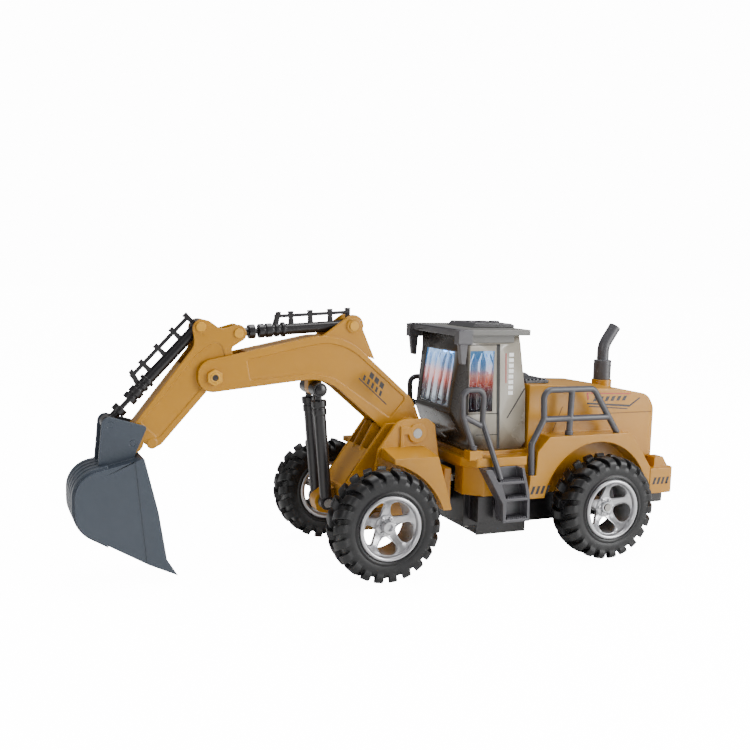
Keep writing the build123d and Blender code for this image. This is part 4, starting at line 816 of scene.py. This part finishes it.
def cab_marks(label, side):
    """A ladder of white patches, a red line, and thin dark strips of painted shade along the gaps round the door
    and its panels.
    """
    band = [[(-83.0 - 0.05 * k, 117.6 - 3.1 * k), (-86.0 - 0.05 * k, 117.6 - 3.1 * k),
             (-86.1 - 0.05 * k, 115.5 - 3.1 * k), (-83.1 - 0.05 * k, 115.5 - 3.1 * k)] for k in range(8)]
    along_side("cab_white_bars_" + label, band, CAB_FACE, side, "white_ink", "rear_body")
    red = [[(-80.6, 117.4), (-81.2, 117.4), (-82.0, 100.4), (-81.4, 100.4)]]
    along_side("cab_red_line_" + label, red, CAB_FACE, side, "red_ink", "rear_body")
    # thin dark strips of painted shade along the door and panel gaps
    gaps = [[(-74.6, 122.6), (-76.8, 122.6), (-79.2, 63.2), (-77.4, 63.2)],
            [(-54.8, 121.9), (-54.8, 122.4), (-76.6, 122.4), (-76.6, 121.9)],
            [(-83.0, 80.3), (-83.7, 80.3), (-94.5, 96.9), (-93.9, 97.3)],
            [(-56.4, 83.4), (-56.4, 83.9), (-77.6, 83.5), (-77.6, 83.0)],
            [(-63.6, 71.2), (-63.6, 71.6), (-77.8, 71.4), (-77.8, 71.0)]]
    along_side("cab_seams_" + label, gaps, CAB_FACE, side, "cab_seam", "rear_body")


def hood_seams(label, side):
    """The parting line of the hood's rear cover and a short upright one behind the cab, both drawn as thin dark
    strips of painted shade.
    """
    # thin dark strips of painted shade along the parting lines
    seams = [[(-153.6, 80.8), (-153.6, 81.15), (-184.6, 81.15), (-184.6, 80.8)],
             [(-113.8, 72.0), (-114.2, 72.0), (-120.1, 86.0), (-119.7, 86.0)]]
    along_side("hood_seams_" + label, seams, HOOD_FACE, side, "seam", "rear_body")


BOOM_MARK_START = np.array([2.2, 103.2])
BOOM_MARK_RUN = np.array([-16.9, -15.0])
BOOM_MARK_LENGTH = float(np.hypot(*BOOM_MARK_RUN))
BOOM_MARK_ALONG = BOOM_MARK_RUN / BOOM_MARK_LENGTH
BOOM_MARK_ABOVE = np.array([-BOOM_MARK_RUN[1], BOOM_MARK_RUN[0]]) / BOOM_MARK_LENGTH * -1.0


def boom_patch(a0, a1, b0, b1, lean=0.0):
    """A four-cornered patch measured along and above the boom mark's slim line."""
    corners = ((a0, b0), (a1, b0), (a1 + lean, b1), (a0 + lean, b1))
    return [tuple(BOOM_MARK_START + BOOM_MARK_ALONG * a + BOOM_MARK_ABOVE * b) for a, b in corners]


def boom_marks(label, side):
    """A slim line up the boom's side with two rows of slanted strokes over it."""
    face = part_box("boom_half_left")[1][1] / MM - 0.7
    marks = [boom_patch(0.0, BOOM_MARK_LENGTH, -0.3, 0.3)]
    marks += [boom_patch(2.2 + 3.3 * k, 3.7 + 3.3 * k, 0.9, 3.6, -1.1) for k in range(5)]
    marks += [boom_patch(4.0 + 4.1 * k, 6.9 + 4.1 * k, 4.6, 7.4, -1.1) for k in range(3)]
    along_side("boom_bars_" + label, marks, face, side, "black_ink", "boom")


for mark_label, mark_side in SIDES:
    body_marks(mark_label, mark_side)
    cab_marks(mark_label, mark_side)
    hood_seams(mark_label, mark_side)
    boom_marks(mark_label, mark_side)


# --- camera, lights, floor -----------------------------------------------------------------
CAMERA_PLACE = (0.2230, 0.4931, 0.1623)
CAMERA_YAW = math.radians(23.22)
CAMERA_PITCH = math.radians(6.98)
CAMERA_ROLL = math.radians(1.54)
CAMERA_LENS = 46.14
CAMERA_SHIFT = (0.0064, 0.016)


def camera():
    data = bpy.data.cameras.new("view_camera")
    data.sensor_width = 36.0
    data.lens = CAMERA_LENS
    data.shift_x, data.shift_y = CAMERA_SHIFT
    data.clip_start = 0.01
    forward = Vector((-math.sin(CAMERA_YAW) * math.cos(CAMERA_PITCH),
                      -math.cos(CAMERA_YAW) * math.cos(CAMERA_PITCH), -math.sin(CAMERA_PITCH)))
    right = Vector((-math.cos(CAMERA_YAW), math.sin(CAMERA_YAW), 0.0))
    up = right.cross(forward)
    rolled_right = right * math.cos(CAMERA_ROLL) + up * math.sin(CAMERA_ROLL)
    rolled_up = up * math.cos(CAMERA_ROLL) - right * math.sin(CAMERA_ROLL)
    turn = Matrix((rolled_right, rolled_up, -forward)).transposed().to_4x4()
    holder = bpy.data.objects.new("view_camera", data)
    bpy.context.scene.collection.objects.link(holder)
    holder.matrix_world = Matrix.Translation(CAMERA_PLACE) @ turn
    bpy.context.scene.camera = holder


def softbox(name, place, aim, size, power):
    data = bpy.data.lights.new(name, "AREA")
    data.shape = "RECTANGLE"
    data.size, data.size_y = size
    data.energy = power
    data.color = linear("#FFFFFF")[:3]
    holder = bpy.data.objects.new(name, data)
    bpy.context.scene.collection.objects.link(holder)
    holder.location = place
    holder.rotation_euler = (Vector(aim) - Vector(place)).to_track_quat("-Z", "Y").to_euler()


BACKDROP_TO_CAMERA = 14.0
SKY_LIGHT = 0.32


def studio():
    """A plain pale floor that runs far out, three softboxes and an even pale sky.

    Floor and sky look white to the camera only; the object is lit by the softboxes and the dimmer sky.
    """
    mesh = bpy.data.meshes.new("studio_floor")
    reach = 6.0
    mesh.from_pydata([(-reach, -reach, 0), (reach, -reach, 0), (reach, reach, 0), (-reach, reach, 0)], [],
                     [(0, 1, 2, 3)])
    floor = bpy.data.objects.new("studio_floor", mesh)
    bpy.context.scene.collection.objects.link(floor)
    material, tree, shader = start("pale_paper_floor", Roughness=0.8)
    shader.inputs["Base Color"].default_value = linear("#FBFBFA")
    shader.inputs["Emission Color"].default_value = linear("#FFFFFF")
    seen = add_node(tree, "ShaderNodeLightPath").outputs["Is Camera Ray"]
    lift = add_node(tree, "ShaderNodeMath", {"operation": "MULTIPLY", 1: BACKDROP_TO_CAMERA}, {0: seen})
    tree.links.new(lift.outputs["Value"], shader.inputs["Emission Strength"])
    mesh.materials.append(material)
    world = bpy.data.worlds.new("studio_sky")
    bpy.context.scene.world = world
    world.use_nodes = True
    sky = world.node_tree
    seen = add_node(sky, "ShaderNodeLightPath").outputs["Is Camera Ray"]
    level = add_node(sky, "ShaderNodeMapRange", {"To Min": SKY_LIGHT, "To Max": BACKDROP_TO_CAMERA},
                     {"Value": seen})
    sky.nodes["Background"].inputs["Color"].default_value = linear("#FFFFFF")
    sky.links.new(level.outputs["Result"], sky.nodes["Background"].inputs["Strength"])
    softbox("key_softbox", (-0.85, 0.8, 0.45), (-0.05, 0, 0.07), (0.55, 0.8), 19.0)
    softbox("fill_softbox", (1.1, 0.7, 0.5), (0, 0, 0.06), (0.5, 0.5), 4.0)
    softbox("top_softbox", (-0.1, -0.1, 1.1), (0, 0, 0.05), (0.8, 0.8), 13.0)


camera()
studio()
